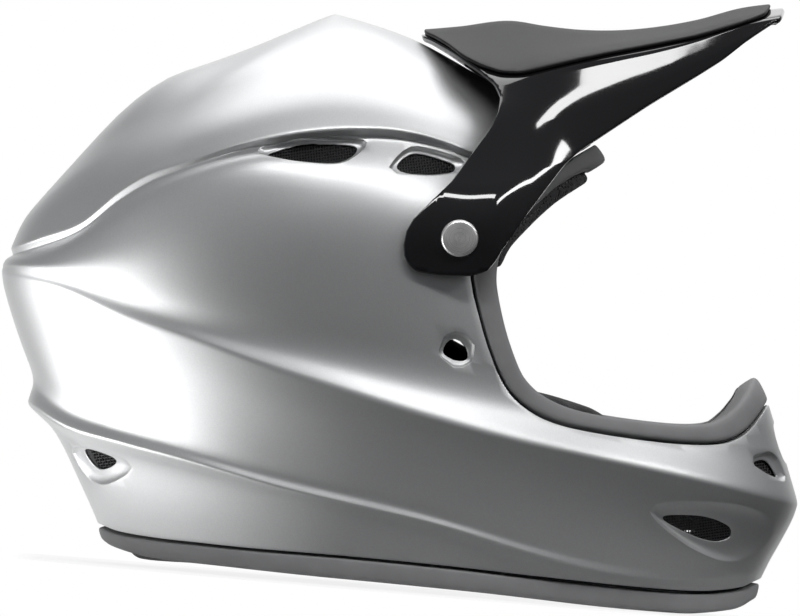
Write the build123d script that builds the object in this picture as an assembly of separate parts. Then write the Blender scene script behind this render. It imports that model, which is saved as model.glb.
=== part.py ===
from build123d import *
import math
import os

os.makedirs("parts", exist_ok=True)

# Driving dimensions, millimetres and degrees
shell_length = 366.0
shell_height = 254.6
shell_width = 248.0
wall = 3.0
boss_radius = 10.0
ear_port_radius = 7.0

# Clearances and overruns
soft_gap = 0.4
seam_gap = 0.3
running_gap = 0.05
overrun = 40.0

# Face and bottom trims
trim_proud = 0.8
face_trim_depth = 10.0
bottom_trim_depth = 7.5

# Foam liner and the room for the head
cavity_half_length = 101.0
cavity_half_width = 82.0
cavity_rise = 84.0
cavity_middle_x = -39.0
cavity_middle_z = 130.0
neck_half_length = 82.0
neck_half_width = 74.0
neck_middle_x = -22.0
chin_lining_depth = 22.0
chin_split_x = 36.0
chin_split_z = 118.0

# Comfort liner and pads
comfort_thickness = 8.0
comfort_channel = 7.0
comfort_low_z = 118.0
comfort_band = 18.0
comfort_window_count = 6
comfort_crown_radius = 30.0
cheek_pad_inner_y = 47.0
cheek_pad_crown = 7.0
pad_groove = 2.0
chin_pad_thickness = 6.0
chin_pad_rear_x = 108.0
chin_pad_low_z = 36.0
chin_pad_high_z = 62.0
brow_pad_depth = 22.0

# Neck roll
roll_half_depth = 12.0
roll_half_height = 18.0
roll_low_z = 0.8
roll_reach_x = 86.0
roll_reach_y = 83.0
roll_sweep = 75.0

# Visor
visor_wall = 2.6
panel_thickness = 2.2
panel_gap = 0.45
arm_washer_thickness = 1.0
arm_washer_radius = 8.5

# Thumb screws and their bushes
knob_radius = 8.3
knob_thickness = 3.6
knob_dome = 0.9
screw_radius = 2.5
bush_radius = 4.5
bush_flange_radius = 9.0
bush_flange_thickness = 1.6
bush_length = 9.0

# Guide that limits the visor's tilt
visor_tilt_range = 12.0
guide_thickness = 5.0
guide_rim = 2.5
guide_pin_radius = 1.5
lug_thickness = 3.0

# Chin strap
strap_width = 20.0
strap_thickness = 1.8
strap_anchor_x = -5.0
strap_anchor_y = 68.0
strap_anchor_z = 32.0
strap_tongue = 8.0
strap_drop = 18.0
strap_bend_radius = 1.7
strap_sag_share = 0.3
rivet_radius = 3.0
rivet_head_radius = 5.5
rivet_head_thickness = 1.7
anchor_plate_radius = 9.0
anchor_plate_thickness = 2.0
anchor_tail_radius = 4.0
anchor_tail_length = 14.0
ring_thickness = 2.5
ring_bar = 3.0
ring_window = 14.5
ring_middle_y = 13.0
ring_gap = 0.5
stud_radius = 5.0
stud_thickness = 2.0

# Studs behind the cheek pads
pad_stud_length = 4.0
pad_stud_y = 74.0

# Mesh panels
mesh_thickness = 0.8
mesh_margin = 2.5

# The side outlines are traced in pixels of a side photograph, which shows the helmet nose down
photo_tilt = 5.0
rear_pixel = (2, 272)
front_pixel = (798, 503)
floor_pixel = (690, 613)
crown_pixel = (335, 14)
pivot_pixel = (459, 239)
ear_pixel = (457, 349)

# Rings of the shell, from the crest down: share of the half width, pixel column where the ring is
# widest, and from rear to front the side pixels with a share that draws the ring in there
ring_shares = [
    (0.07, 336, [(322, 17, 1), (350, 17, 1)]),
    (0.31, 325, [(240, 53, 1), (285, 41, 1), (330, 34, 1), (375, 32, 1), (412, 37, 1)]),
    (0.47, 325, [(145, 84, 1), (190, 84, 1), (250, 68, 1), (325, 55, 1), (400, 56, 1), (470, 70, 1)]),
    (0.57, 325, [(36, 204, 1), (60, 184, 1), (100, 157, 1), (150, 132, 1), (200, 108, 1), (260, 84, 1),
                 (330, 71, 1), (400, 74, 1), (460, 90, 1), (540, 112, 1)]),
    (0.75, 325, [(22, 222, 1), (60, 203, 1), (100, 182, 1), (150, 153, 1), (200, 130, 1), (260, 112, 1),
                 (330, 102, 1), (400, 105, 1), (480, 122, 1), (598, 141, 1)]),
    (0.84, 325, [(11, 248, 1), (40, 239, 1), (85, 222, 1), (120, 193, 1), (150, 175, 1), (180, 165, 1),
                 (240, 146, 1), (300, 134, 1), (360, 130, 1), (400, 132, 1), (440, 141, 1), (475, 154, 1),
                 (540, 175, 1), (618, 190, 1)]),
    (0.84, 325, [(13, 255, .93), (40, 247, .94), (85, 229, .99), (120, 202, 1), (150, 184, 1),
                 (180, 172, 1), (240, 152, .975), (300, 142, .955), (360, 138, .952), (400, 140, .952),
                 (440, 149, .955), (475, 162, .96), (540, 184, .97), (620, 205, 1)]),
    (0.905, 325, [(6, 259, 1), (40, 256, 1), (100, 230, 1), (150, 199, 1), (200, 178, 1), (255, 163, 1),
                  (330, 170, 1), (400, 179, 1), (475, 190, 1), (550, 215, 1), (626, 240, 1)]),
    (0.955, 325, [(3, 264, 1), (60, 264, 1), (130, 250, 1), (200, 232, 1), (330, 222, 1), (475, 232, 1),
                  (560, 262, 1), (680, 300, 1)]),
    (0.96, 330, [(3, 267, 1), (60, 274, 1), (130, 283, 1), (200, 290, 1), (330, 300, 1), (420, 312, 1),
                 (500, 330, 1), (600, 350, 1), (758, 370, 1)]),
    (0.95, 345, [(2, 270, 1), (60, 280, 1), (130, 302, 1), (200, 324, 1), (280, 343, 1), (360, 364, 1),
                 (440, 384, 1), (500, 400, 1), (600, 418, 1), (700, 440, 1), (781, 445, 1)]),
    (1.0, 380, [(2, 274, 1), (60, 287, 1), (130, 318, 1), (200, 341, 1), (280, 369, 1), (360, 394, 1),
                (440, 418, 1), (500, 434, 1), (600, 456, 1), (700, 478, 1), (798, 503, 1)]),
    (0.98, 380, [(4, 290, 1), (60, 310, 1), (130, 345, 1), (200, 370, 1), (280, 397, 1), (360, 420, 1),
                 (440, 442, 1), (500, 457, 1), (600, 478, 1), (700, 500, 1), (793, 519, 1)]),
    (0.935, 375, [(19, 338, 1), (60, 358, 1), (130, 388, 1), (200, 414, 1), (280, 437, 1), (360, 460, 1),
                  (440, 480, 1), (500, 495, 1), (600, 520, 1), (700, 540, 1), (781, 541, 1)]),
    (0.90, 370, [(35, 379, .98), (60, 402, .98), (110, 424, .99), (160, 438, 1), (240, 463, 1),
                 (320, 484, 1), (400, 503, 1), (480, 526, 1), (560, 549, 1), (660, 566, 1), (770, 560, 1)]),
    (0.912, 365, [(27, 404, 1), (60, 424, 1), (120, 442, 1), (200, 463, 1), (280, 486, 1), (360, 505, 1),
                  (440, 524, 1), (520, 549, 1), (600, 570, 1), (680, 578, 1), (764, 572, 1)]),
    (0.88, 365, [(57, 432, 1), (80, 443, 1), (120, 456, 1), (200, 476, 1), (280, 498, 1), (360, 517, 1),
                 (440, 536, 1), (520, 558, 1), (600, 575, 1), (680, 585, 1), (760, 580, 1)]),
    (0.84, 365, [(100, 526, 1), (150, 538, 1), (240, 546, 1), (320, 552, 1), (400, 560, 1), (480, 571, 1),
                 (560, 581, 1), (640, 590, 1), (700, 594, 1), (756, 587, 1)]),
    (0.82, 365, [(108, 560, 1), (180, 573, 1), (300, 586, 1), (400, 597, 1), (500, 609, 1), (600, 620, 1),
                 (700, 628, 1), (752, 622, 1)]),
]
ring_point_count = 22
# Rings that the foam follows: it leaves the ridges of the shell empty
foam_rings = (0, 1, 2, 3, 6, 7, 8, 9, 10, 12, 14, 16, 17, 18, 19)

# Side outlines
opening_pixels = [(650, 118), (604, 138), (575, 157), (545, 178), (515, 204), (490, 230), (474, 258),
                  (472, 280), (479, 310), (486, 337), (494, 361), (506, 386), (522, 403), (546, 417),
                  (580, 427), (640, 437), (690, 443), (722, 441), (742, 433), (756, 419), (770, 399),
                  (785, 372)]
trim_edge_pixels = [(650, 140), (606, 161), (583, 171), (560, 185), (535, 206), (514, 230), (499, 254),
                    (495, 278), (500, 306), (507, 333), (516, 358), (528, 381), (546, 396), (580, 408),
                    (640, 419), (688, 425), (716, 421), (734, 409), (746, 393), (756, 372)]
brow_pad_pixels = [(650, 152), (606, 170), (585, 184), (562, 199), (540, 217), (521, 236), (508, 252),
                   (503, 268)]
bottom_edge_pixels = [(60, 512), (99, 526), (120, 533), (160, 539), (250, 548), (350, 556), (450, 566),
                      (550, 578), (640, 588), (700, 592), (740, 589), (756, 583), (800, 566)]
heel_pixels = [(60, 522), (97, 536), (113, 547), (135, 554), (160, 560), (195, 567), (250, 574)]
rear_vent_pixels = [(72, 444), (123, 462), (95, 476)]
crown_vent_rear_pixels = [(252, 152), (285, 145), (315, 142), (372, 144), (342, 165), (300, 161)]
crown_vent_front_pixels = [(386, 172), (397, 162), (412, 150), (466, 164), (460, 172), (430, 175)]
chin_vent_pixels = [(653, 514), (680, 514), (705, 516), (728, 523), (740, 533), (734, 543), (718, 546),
                    (700, 541), (676, 530)]
chin_corner_vent_pixels = [(749, 461), (771, 455), (786, 480)]
front_vent_pixels = [(728, 425), (900, 425), (900, 462), (728, 462)]
front_vent_half_width = 14.0

# Outlines of inner pieces in the same view
cheek_pad_pixels = [(300, 400), (325, 350), (385, 328), (450, 333), (495, 358), (520, 383), (548, 393),
                    (585, 404), (622, 430), (628, 462), (600, 488), (540, 500), (450, 490), (360, 474),
                    (308, 443)]
cheek_pad_crown_share = 0.86
pad_stud_pixels = [(335, 400), (400, 450), (405, 365)]
comfort_front_pixels = [(330, 345), (545, 160), (700, 160), (700, 620), (330, 620)]
guide_pin_pixel = (470, 45)
lug_pixels = [(461, 27), (480, 25), (481, 52), (470, 56), (460, 52)]
guide_web_pixels = [(462, 54), (520, 60), (534, 72), (520, 130), (470, 90)]

# Visor sections at pixel columns: row of the top, then share of the half width and row of the
# crease, of the bend, of the side and of the low edge
visor_shares = [
    (395, 32, (.42, 56), (.76, 120), (.87, 165), (1, 205), (1, 290)),
    (427, 31, (.45, 52), (.76, 119), (.87, 165), (1, 205), (1, 290)),
    (460, 26, (.50, 62), (.755, 120), (.87, 165), (1, 205), (1, 290)),
    (513, 17, (.575, 75), (.755, 118), (.87, 165), (1, 205), (1, 290)),
    (545, 24, (.60, 68), (.71, 112), (.79, 155), (.88, 195), (.93, 290)),
    (580, 30, (.575, 60), (.66, 104), (.71, 145), (.75, 178), (.81, 290)),
    (620, 32, (.535, 53), (.60, 92), (.63, 122), (.655, 150), (.71, 290)),
    (660, 29, (.485, 46), (.535, 78), (.555, 100), (.575, 130), (.62, 290)),
    (700, 22, (.425, 37), (.46, 60), (.475, 78), (.49, 105), (.53, 290)),
    (740, 11, (.36, 25), (.38, 40), (.39, 52), (.40, 75), (.44, 290)),
    (795, 5, (.265, 14), (.28, 25), (.29, 36), (.30, 60), (.34, 290)),
]
visor_half_width = 120.0
visor_side_pixels = [(513, 8), (420, 20), (420, 36), (448, 50), (463, 60), (480, 72), (500, 94), (497, 112),
                     (490, 128), (470, 155), (450, 182), (430, 202), (410, 222), (402, 240), (405, 265),
                     (415, 273), (470, 277), (495, 265), (500, 252), (510, 240), (520, 225), (535, 205),
                     (550, 185), (565, 165), (580, 150), (600, 138), (650, 105), (700, 75), (724, 60),
                     (745, 42), (760, 33), (780, 22), (788, 10), (775, -4)]
panel_side_pixels = [(513, 4), (424, 18), (425, 33), (448, 45), (463, 57), (480, 65), (503, 74), (522, 74),
                     (600, 55), (650, 47), (700, 36), (740, 24), (765, 15), (776, -4)]


def levelled(pixel):
    """A pixel of the side view turned level, along and up, still in pixels."""
    tilt = math.radians(photo_tilt)
    along = pixel[0] * math.cos(tilt) + pixel[1] * math.sin(tilt)
    up = pixel[0] * math.sin(tilt) - pixel[1] * math.cos(tilt)
    return along, up


def side(pixel):
    """The x and z, in millimetres, of a pixel of the side view."""
    along, up = levelled(pixel)
    rear, front = levelled(rear_pixel)[0], levelled(front_pixel)[0]
    floor, crown = levelled(floor_pixel)[1], levelled(crown_pixel)[1]
    x = ((along - rear) / (front - rear) - 1 / 2) * shell_length
    z = (up - floor) / (crown - floor) * shell_height
    return x, z


def through(places, values, at):
    """Value at a place on a smooth line through hand-chosen points."""
    last = len(places) - 1
    slopes = [(values[i + 1] - values[i]) / (places[i + 1] - places[i]) for i in range(last)]
    index = 0
    while index < last - 1 and at > places[index + 1]:
        index += 1
    ends = []
    for i in (index, index + 1):
        if i == 0 or i == last:
            ends.append(slopes[min(i, last - 1)])
        else:
            before, after = places[i] - places[i - 1], places[i + 1] - places[i]
            ends.append((slopes[i - 1] * after + slopes[i] * before) / (before + after))
    step = places[index + 1] - places[index]
    t = (at - places[index]) / step
    rise = values[index + 1] - values[index]
    start = (ends[0] * step - rise) * t * (1 - t) ** 2
    stop = (rise - ends[1] * step) * t ** 2 * (1 - t)
    return values[index] + rise * t + start + stop


def ring(shares):
    """Points of one ring, from the rear round the left side to the front and back."""
    width_share, widest_column, places = shares
    spots = [side((u, v)) for u, v, _ in places]
    xs, zs = [spot[0] for spot in spots], [spot[1] for spot in spots]
    draws = [draw for _, _, draw in places]
    middle_x = side((widest_column, places[len(places) // 2][1]))[0]
    points = []
    for index in range(ring_point_count):
        angle = 2 * math.pi * index / ring_point_count
        reach = middle_x - xs[0] if math.cos(angle) > 0 else xs[-1] - middle_x
        x = middle_x - reach * math.cos(angle)
        y = shell_width / 2 * width_share * math.sin(angle) * through(xs, draws, x)
        points.append(Vector(x, y, through(xs, zs, x)))
    return points


def shell_net():
    """All rings of the shell, the first and the last made flat, with a skirt below the edge."""
    net = [ring(row) for row in ring_shares]
    net[0] = [Vector(point.X, point.Y, shell_height) for point in net[0]]
    net.append([Vector(point.X, point.Y, -overrun) for point in net[-1]])
    return net


def normal_at(net, row, column):
    """Outward direction of the net at one of its points."""
    above, below = net[max(row - 1, 0)], net[min(row + 1, len(net) - 1)]
    down = below[column] - above[column]
    along = net[row][(column + 1) % ring_point_count] - net[row][column - 1]
    return along.cross(down).normalized()


def loft_inside(depth, rows=None):
    """Solid of all that lies deeper than a depth inside the shell's outer face."""
    net = shell_net()
    wires = []
    for row in rows or range(len(net)):
        points = []
        for column in range(ring_point_count):
            point = net[row][column] - normal_at(net, row, column) * depth
            if row == 0:
                point = Vector(point.X, point.Y, shell_height - depth)
            if row == len(net) - 1:
                point = Vector(point.X, point.Y, -overrun)
            points.append(point)
        places = [index / ring_point_count for index in range(ring_point_count + 1)]
        wires.append(Wire([Edge.make_spline(points, periodic=True, parameters=places)]))
    return Solid.make_loft(wires, ruled=True)


def box(low, high):
    """Block from its low corner to its high corner."""
    size = [high[axis] - low[axis] for axis in range(3)]
    return Solid.make_box(*size, Plane(origin=low))


def shifted(points, distance):
    """A side line moved sideways; positive is to the left of its way."""
    moved = []
    for index, point in enumerate(points):
        before, after = points[max(index - 1, 0)], points[min(index + 1, len(points) - 1)]
        along, up = after[0] - before[0], after[1] - before[1]
        length = math.hypot(along, up)
        moved.append((point[0] - up / length * distance, point[1] + along / length * distance))
    return moved


def curved_prism(points, corners, low_y, high_y):
    """Solid across the helmet: a smooth side line, closed by straight lines through corners."""
    line = [Vector(x, low_y, z) for x, z in points]
    ends = [line[-1]] + [Vector(x, low_y, z) for x, z in corners] + [line[0]]
    edges = [Edge.make_spline(line)]
    edges += [Edge.make_line(ends[i], ends[i + 1]) for i in range(len(ends) - 1)]
    return Solid.extrude(Face(Wire(edges)), Vector(0, high_y - low_y, 0))


def flat_prism(points, low_y, high_y):
    """Solid across the helmet with straight sides."""
    corners = [Vector(x, low_y, z) for x, z in points]
    return Solid.extrude(Face(Wire.make_polygon(corners)), Vector(0, high_y - low_y, 0))


def rod(x, z, radius, low_y, high_y):
    """Cylinder along y."""
    return Solid.make_cylinder(radius, high_y - low_y, Plane(origin=(x, low_y, z), z_dir=(0, 1, 0)))


def both_sides(solid):
    """A piece and its mirror image on the other side."""
    return [solid, solid.mirror(Plane.XZ)]


def one(result):
    """The largest solid of a result, without crumbs."""
    return max(result.solids(), key=lambda solid: solid.volume)


far_y = shell_width / 2 + overrun
front_x = shell_length / 2 + overrun
pivot_x, pivot_z = side(pivot_pixel)
ear_x, ear_z = side(ear_pixel)


def opening_prism(pixels, distance=0.0):
    """All that lies in front of a C-shaped side line of the face opening."""
    points = shifted([side(pixel) for pixel in pixels], distance)
    corners = [(front_x, points[-1][1]), (front_x, points[0][1])]
    return curved_prism(points, corners, -far_y, far_y)


def below_prism(pixels, distance=0.0):
    """All that lies below a side line of the bottom edge."""
    points = shifted([side(pixel) for pixel in pixels], distance)
    corners = [(points[-1][0], -2 * overrun), (points[0][0], -2 * overrun)]
    return curved_prism(points, corners, -far_y, far_y)


def outline(pixels, margin=0.0):
    """Side outline in millimetres, pushed out from its middle by a margin."""
    points = [side(pixel) for pixel in pixels]
    middle_x = sum(point[0] for point in points) / len(points)
    middle_z = sum(point[1] for point in points) / len(points)
    pushed = []
    for x, z in points:
        reach = math.hypot(x - middle_x, z - middle_z)
        stretch = (reach + margin) / reach
        pushed.append((middle_x + (x - middle_x) * stretch, middle_z + (z - middle_z) * stretch))
    return pushed


crown_vent_inner_y = cavity_half_width / 2
lower_vent_inner_y = neck_half_width / 4


def vent_cuts(margin=0.0):
    """Cuts of all vents, wider by a margin: side vents in pairs, and one at the front."""
    cuts = []
    for pixels, inner_y in (
        (crown_vent_rear_pixels, crown_vent_inner_y),
        (crown_vent_front_pixels, crown_vent_inner_y),
        (rear_vent_pixels, crown_vent_inner_y),
        (chin_vent_pixels, crown_vent_inner_y),
        (chin_corner_vent_pixels, lower_vent_inner_y),
    ):
        cuts += both_sides(flat_prism(outline(pixels, margin), inner_y, far_y))
    half_width = front_vent_half_width + margin
    cuts.append(flat_prism(outline(front_vent_pixels, margin), -half_width, half_width))
    return cuts


def pivot_rods(radius, inner_y, outer_y):
    """A rod on the visor's axis at each side."""
    return both_sides(rod(pivot_x, pivot_z, radius, inner_y, outer_y))


# The visor's arm runs upright past the shell at the pivot, and the boss ends one washer inside it
arm_outer_y = visor_half_width
arm_inner_y = arm_outer_y - visor_wall
boss_face_y = arm_inner_y - arm_washer_thickness
boss_root_y = boss_face_y - 5 * wall


def outer_shell():
    """Moulded shell with its chin bar, vents, ear ports and the bosses that carry the visor."""
    shell = loft_inside(0).cut(
        loft_inside(wall), opening_prism(opening_pixels), below_prism(bottom_edge_pixels), *vent_cuts()
    )
    shell = one(shell).fuse(*pivot_rods(boss_radius, boss_root_y, boss_face_y))
    holes = pivot_rods(bush_radius + running_gap, 0, far_y)
    holes += both_sides(rod(ear_x, ear_z, ear_port_radius, 0, far_y))
    return one(one(shell).cut(*holes))


def face_trim():
    """Rubber rim of the face opening, with a lip that stands proud of the shell."""
    rim = loft_inside(-trim_proud).cut(loft_inside(face_trim_depth))
    rim = one(rim).intersect(opening_prism(opening_pixels, seam_gap))
    return one(one(rim).cut(opening_prism(trim_edge_pixels)))


def bottom_trim():
    """Rubber rim of the bottom edge; the helmet rests on it."""
    rim = loft_inside(-trim_proud).cut(loft_inside(bottom_trim_depth))
    rim = one(rim).intersect(below_prism(bottom_edge_pixels, -seam_gap))
    floor = box((-front_x, -far_y, -2 * overrun), (front_x, far_y, 0))
    heel = below_prism(heel_pixels)
    return one(one(rim).cut(floor, heel))


def head_egg(inset):
    """Room for the upper head."""
    size = (cavity_half_length - inset, cavity_half_width - inset, cavity_rise - inset)
    egg = Solid.make_sphere(1).scale(size)
    return one(egg.moved(Location((cavity_middle_x, 0, cavity_middle_z))))


def neck_tube(inset):
    """Room for the neck and jaw, from under the helmet up into the egg."""
    plane = Plane(origin=(neck_middle_x, 0, -overrun))
    rim = Edge.make_ellipse(neck_half_length - inset, neck_half_width - inset, plane)
    return Solid.extrude(Face(Wire([rim])), Vector(0, 0, overrun + cavity_middle_z))


def chin_room(inset):
    """Room for the face inside the chin bar."""
    inside = loft_inside(chin_lining_depth + inset, foam_rings)
    front = box((chin_split_x, -far_y, -overrun), (front_x, far_y, cavity_middle_z))
    return one(inside.intersect(front))


def roll_solid(extra):
    """Padded roll round the nape, thinner towards its two ends."""
    wires = []
    for step in range(-4, 5):
        angle = math.radians(roll_sweep) * step / 4
        taper = math.cos(angle * 0.8)
        middle = Vector(
            neck_middle_x - roll_reach_x * math.cos(angle),
            roll_reach_y * math.sin(angle),
            roll_low_z + roll_half_height,
        )
        outward = Vector(-math.cos(angle), math.sin(angle), 0)
        plane = Plane(origin=middle, x_dir=(0, 0, 1), z_dir=outward.cross(Vector(0, 0, 1)))
        height = roll_half_height * (0.7 + 0.3 * taper) + extra
        depth = roll_half_depth * (0.5 + 0.5 * taper) + extra
        wires.append(Wire([Edge.make_ellipse(height, depth, plane)]))
    return Solid.make_loft(wires)


anchor_plate_y = strap_anchor_y + strap_thickness / 2 + soft_gap


def foam_block():
    """Foam between the shell and the head, before it is split at the chin bar."""
    foam = loft_inside(wall + soft_gap, foam_rings)
    cuts = [head_egg(0), neck_tube(0), chin_room(0), roll_solid(soft_gap)]
    cuts += [opening_prism(opening_pixels), below_prism(bottom_edge_pixels, seam_gap)]
    cuts += vent_cuts(mesh_margin + soft_gap)
    cuts += pivot_rods(bush_flange_radius + soft_gap, boss_root_y - bush_length, far_y)
    cuts += pivot_rods(boss_radius + soft_gap, boss_root_y - soft_gap, far_y)
    cuts += both_sides(rod(ear_x, ear_z, ear_port_radius, 0, far_y))
    seat_y = anchor_plate_y + anchor_plate_thickness + seam_gap
    seat = rod(strap_anchor_x, strap_anchor_z, anchor_plate_radius + soft_gap, 0, seat_y)
    tail_y = anchor_plate_y + anchor_tail_length + seam_gap
    tail = rod(strap_anchor_x, strap_anchor_z, anchor_tail_radius + soft_gap, 0, tail_y)
    cuts += both_sides(seat) + both_sides(tail)
    for pixel in pad_stud_pixels:
        x, z = side(pixel)
        pocket = rod(x, z, stud_radius + soft_gap, 0, pad_stud_y + pad_stud_length + soft_gap)
        cuts += both_sides(pocket)
    return one(foam.cut(*cuts))


def foam_liners():
    """Crown liner and chin liner, which meet behind the chin bar."""
    foam = foam_block()
    low = -2 * overrun
    crown = foam.cut(box((chin_split_x - seam_gap, -far_y, low), (front_x, far_y, chin_split_z)))
    chin = foam.intersect(box((chin_split_x, -far_y, low), (front_x, far_y, chin_split_z - seam_gap)))
    return one(crown), one(chin)


def comfort_liner():
    """Fabric pad over the head, cut into petals between a crown disc and a head band."""
    pad = head_egg(soft_gap).cut(head_egg(soft_gap + comfort_thickness))
    cuts = [box((-front_x, -far_y, -overrun), (front_x, far_y, comfort_low_z))]
    cuts.append(flat_prism([side(pixel) for pixel in comfort_front_pixels], -far_y, far_y))
    for index in range(comfort_window_count):
        angle = 360 * (index + 0.5) / comfort_window_count
        slot = box(
            (comfort_crown_radius, -comfort_channel / 2, comfort_low_z + comfort_band),
            (front_x, comfort_channel / 2, shell_height),
        )
        cuts.append(slot.rotate(Axis.Z, angle).moved(Location((cavity_middle_x, 0, 0))))
    return one(one(pad).cut(*cuts))


def cheek_pad():
    """Left cheek pad: a crowned cushion against the foam and the chin bar."""
    points = [side(pixel) for pixel in cheek_pad_pixels]
    middle_x = sum(point[0] for point in points) / len(points)
    middle_z = sum(point[1] for point in points) / len(points)
    wires = []
    rises = [(0, cheek_pad_crown_share), (cheek_pad_crown / 3, (1 + cheek_pad_crown_share) / 2)]
    for rise, share in rises + [(cheek_pad_crown, 1), (shell_width / 2 - cheek_pad_inner_y, 1)]:
        spots = []
        for x, z in points:
            x, z = middle_x + (x - middle_x) * share, middle_z + (z - middle_z) * share
            spots.append(Vector(x, cheek_pad_inner_y + rise, z))
        wires.append(Wire([Edge.make_spline(spots, periodic=True)]))
    cushion = Solid.make_loft(wires, ruled=True)
    behind = one(cushion.intersect(neck_tube(soft_gap)))
    ahead = one(cushion.intersect(chin_room(soft_gap)))
    groove_points = [(middle_x - overrun, middle_z), (middle_x, middle_z - pad_groove)]
    groove_points += [(middle_x + overrun, middle_z), (middle_x, middle_z + pad_groove)]
    low_y = cheek_pad_inner_y - overrun
    groove = flat_prism(groove_points, low_y, cheek_pad_inner_y + pad_groove)
    pad = one(behind.fuse(ahead))
    return one(pad.cut(groove))


def brow_pad():
    """Mesh covered pad behind the brow trim."""
    pad = loft_inside(face_trim_depth + soft_gap).cut(loft_inside(brow_pad_depth))
    low_z = side(brow_pad_pixels[-1])[1]
    upper = box((-front_x, -far_y, low_z), (front_x, far_y, shell_height))
    pad = one(pad).intersect(opening_prism(opening_pixels, seam_gap))
    pad = one(pad).intersect(upper)
    return one(one(pad).cut(opening_prism(brow_pad_pixels)))


def chin_pad():
    """Soft strip inside the chin bar, thickest at the chin and thin at its ends."""
    room = loft_inside(chin_lining_depth + soft_gap, foam_rings)
    zone = box((chin_pad_rear_x, -far_y, chin_pad_low_z), (front_x, far_y, chin_pad_high_z))
    drawn_back = room.moved(Location((-chin_pad_thickness, 0, 0)))
    return one(one(room.intersect(zone)).cut(drawn_back))


def mesh_panels():
    """Wire mesh behind every vent, against the inside of the shell."""
    depth = wall + seam_gap
    sheet = one(loft_inside(depth).cut(loft_inside(depth + mesh_thickness)))
    names = ["crown_meshes"] * 4 + ["rear_meshes"] * 2 + ["chin_meshes"] * 2
    names += ["chin_corner_meshes"] * 2 + ["front_mesh"]
    panels = {}
    for name, prism in zip(names, vent_cuts(mesh_margin)):
        panels.setdefault(name, []).append(one(sheet.intersect(prism)))
    return panels


def visor_section(shares, depth):
    """Half-ring of the visor at one column, drawn in by a depth."""
    column, top, *corners = shares
    half = [(0.0, side((column, top))[1])]
    half += [(share * visor_half_width, side((column, row))[1]) for share, row in corners]
    drawn = []
    for index, (y, z) in enumerate(half):
        before = half[index - 1] if index else (-half[1][0], half[1][1])
        after = half[index + 1] if index < len(half) - 1 else (y, z - overrun)
        first = Vector(y - before[0], z - before[1]).normalized()
        second = Vector(after[0] - y, after[1] - z).normalized()
        bisector = (first + second).normalized()
        stretch = 1 / max(bisector.dot(first), 0.5)
        drawn.append((y + bisector.Y * depth * stretch, z - bisector.X * depth * stretch))
    return drawn


def visor_hood(depth):
    """Solid under the visor's outer face, drawn in by a depth."""
    wires = []
    for shares in visor_shares:
        x = side((shares[0], crown_pixel[1]))[0]
        half = visor_section(shares, depth)
        whole = [(-y, z) for y, z in reversed(half[1:])] + half
        wires.append(Wire.make_polygon([Vector(x, y, z) for y, z in whole]))
    return Solid.make_loft(wires, ruled=True)


def visor_peak():
    """Gloss peak with its two arms, hub holes and the lugs of the guide pin."""
    peak = visor_hood(0).cut(visor_hood(visor_wall))
    outline_points = [side(pixel) for pixel in visor_side_pixels]
    peak = one(one(peak).intersect(flat_prism(outline_points, -far_y, far_y)))
    lug_points = [side(pixel) for pixel in lug_pixels]
    lug_y = guide_thickness / 2 + soft_gap
    peak = one(peak.fuse(*both_sides(flat_prism(lug_points, lug_y, lug_y + lug_thickness))))
    pin_x, pin_z = side(guide_pin_pixel)
    pin_hole = rod(pin_x, pin_z, guide_pin_radius, -far_y / 4, far_y / 4)
    holes = pivot_rods(screw_radius + running_gap, 0, far_y)
    return one(peak.cut(pin_hole, *holes))


def visor_top_panel():
    """Matte panel that lies on the middle of the peak."""
    panel = visor_hood(-panel_thickness).cut(visor_hood(-panel_gap))
    outline_points = [side(pixel) for pixel in panel_side_pixels]
    return one(one(panel).intersect(flat_prism(outline_points, -far_y, far_y)))


def crown_guide():
    """Fin on the crown with the curved slot that limits the tilt."""
    pin_x, pin_z = side(guide_pin_pixel)
    reach = math.hypot(pin_x - pivot_x, pin_z - pivot_z)
    half_y = guide_thickness / 2
    fin = flat_prism([side(pixel) for pixel in guide_web_pixels], -half_y, half_y)
    axis = Axis((pivot_x, 0, pivot_z), (0, 1, 0))
    up = Vector(pin_x - pivot_x, 0, pin_z - pivot_z).normalized()
    pivot = Vector(pivot_x, 0, pivot_z)

    def swept(half_width, half_thick):
        bar = []
        for radial, across in ((-1, -1), (1, -1), (1, 1), (-1, 1)):
            spot = pivot + up * (reach + radial * half_width)
            bar.append(spot + Vector(0, across * half_thick, 0))
        return Solid.revolve(Face(Wire.make_polygon(bar)), visor_tilt_range, axis)

    ends = [(pin_x, pin_z)]
    turned = (Vector(pin_x, 0, pin_z) - pivot).rotate(Axis.Y, visor_tilt_range) + pivot
    ends.append((turned.X, turned.Z))
    rim = [rod(x, z, guide_pin_radius + guide_rim, -half_y, half_y) for x, z in ends]
    slot_radius = guide_pin_radius + running_gap
    slot = [rod(x, z, slot_radius, -far_y, far_y) for x, z in ends]
    fin = one(fin.fuse(swept(guide_pin_radius + guide_rim, half_y), *rim))
    return one(fin.cut(loft_inside(-seam_gap), swept(slot_radius, far_y), *slot))


def guide_pin():
    """Steel pin through the lugs and the slot."""
    half_length = guide_thickness / 2 + soft_gap + lug_thickness
    pin_x, pin_z = side(guide_pin_pixel)
    return rod(pin_x, pin_z, guide_pin_radius, -half_length, half_length)


def visor_screw():
    """Left thumb screw: a shallow domed disc with a finger notch, and its shank."""
    top_y = arm_outer_y + knob_thickness
    disc = rod(pivot_x, pivot_z, knob_radius, arm_outer_y, top_y)
    dome_radius = (knob_radius ** 2 + knob_dome ** 2) / (2 * knob_dome)
    dome = Solid.make_sphere(dome_radius, Plane(origin=(pivot_x, top_y - dome_radius, pivot_z)))
    disc = one(disc.intersect(dome))
    shank = rod(pivot_x, pivot_z, screw_radius, boss_root_y - bush_flange_thickness, arm_outer_y)
    return one(disc.fuse(shank))


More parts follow.
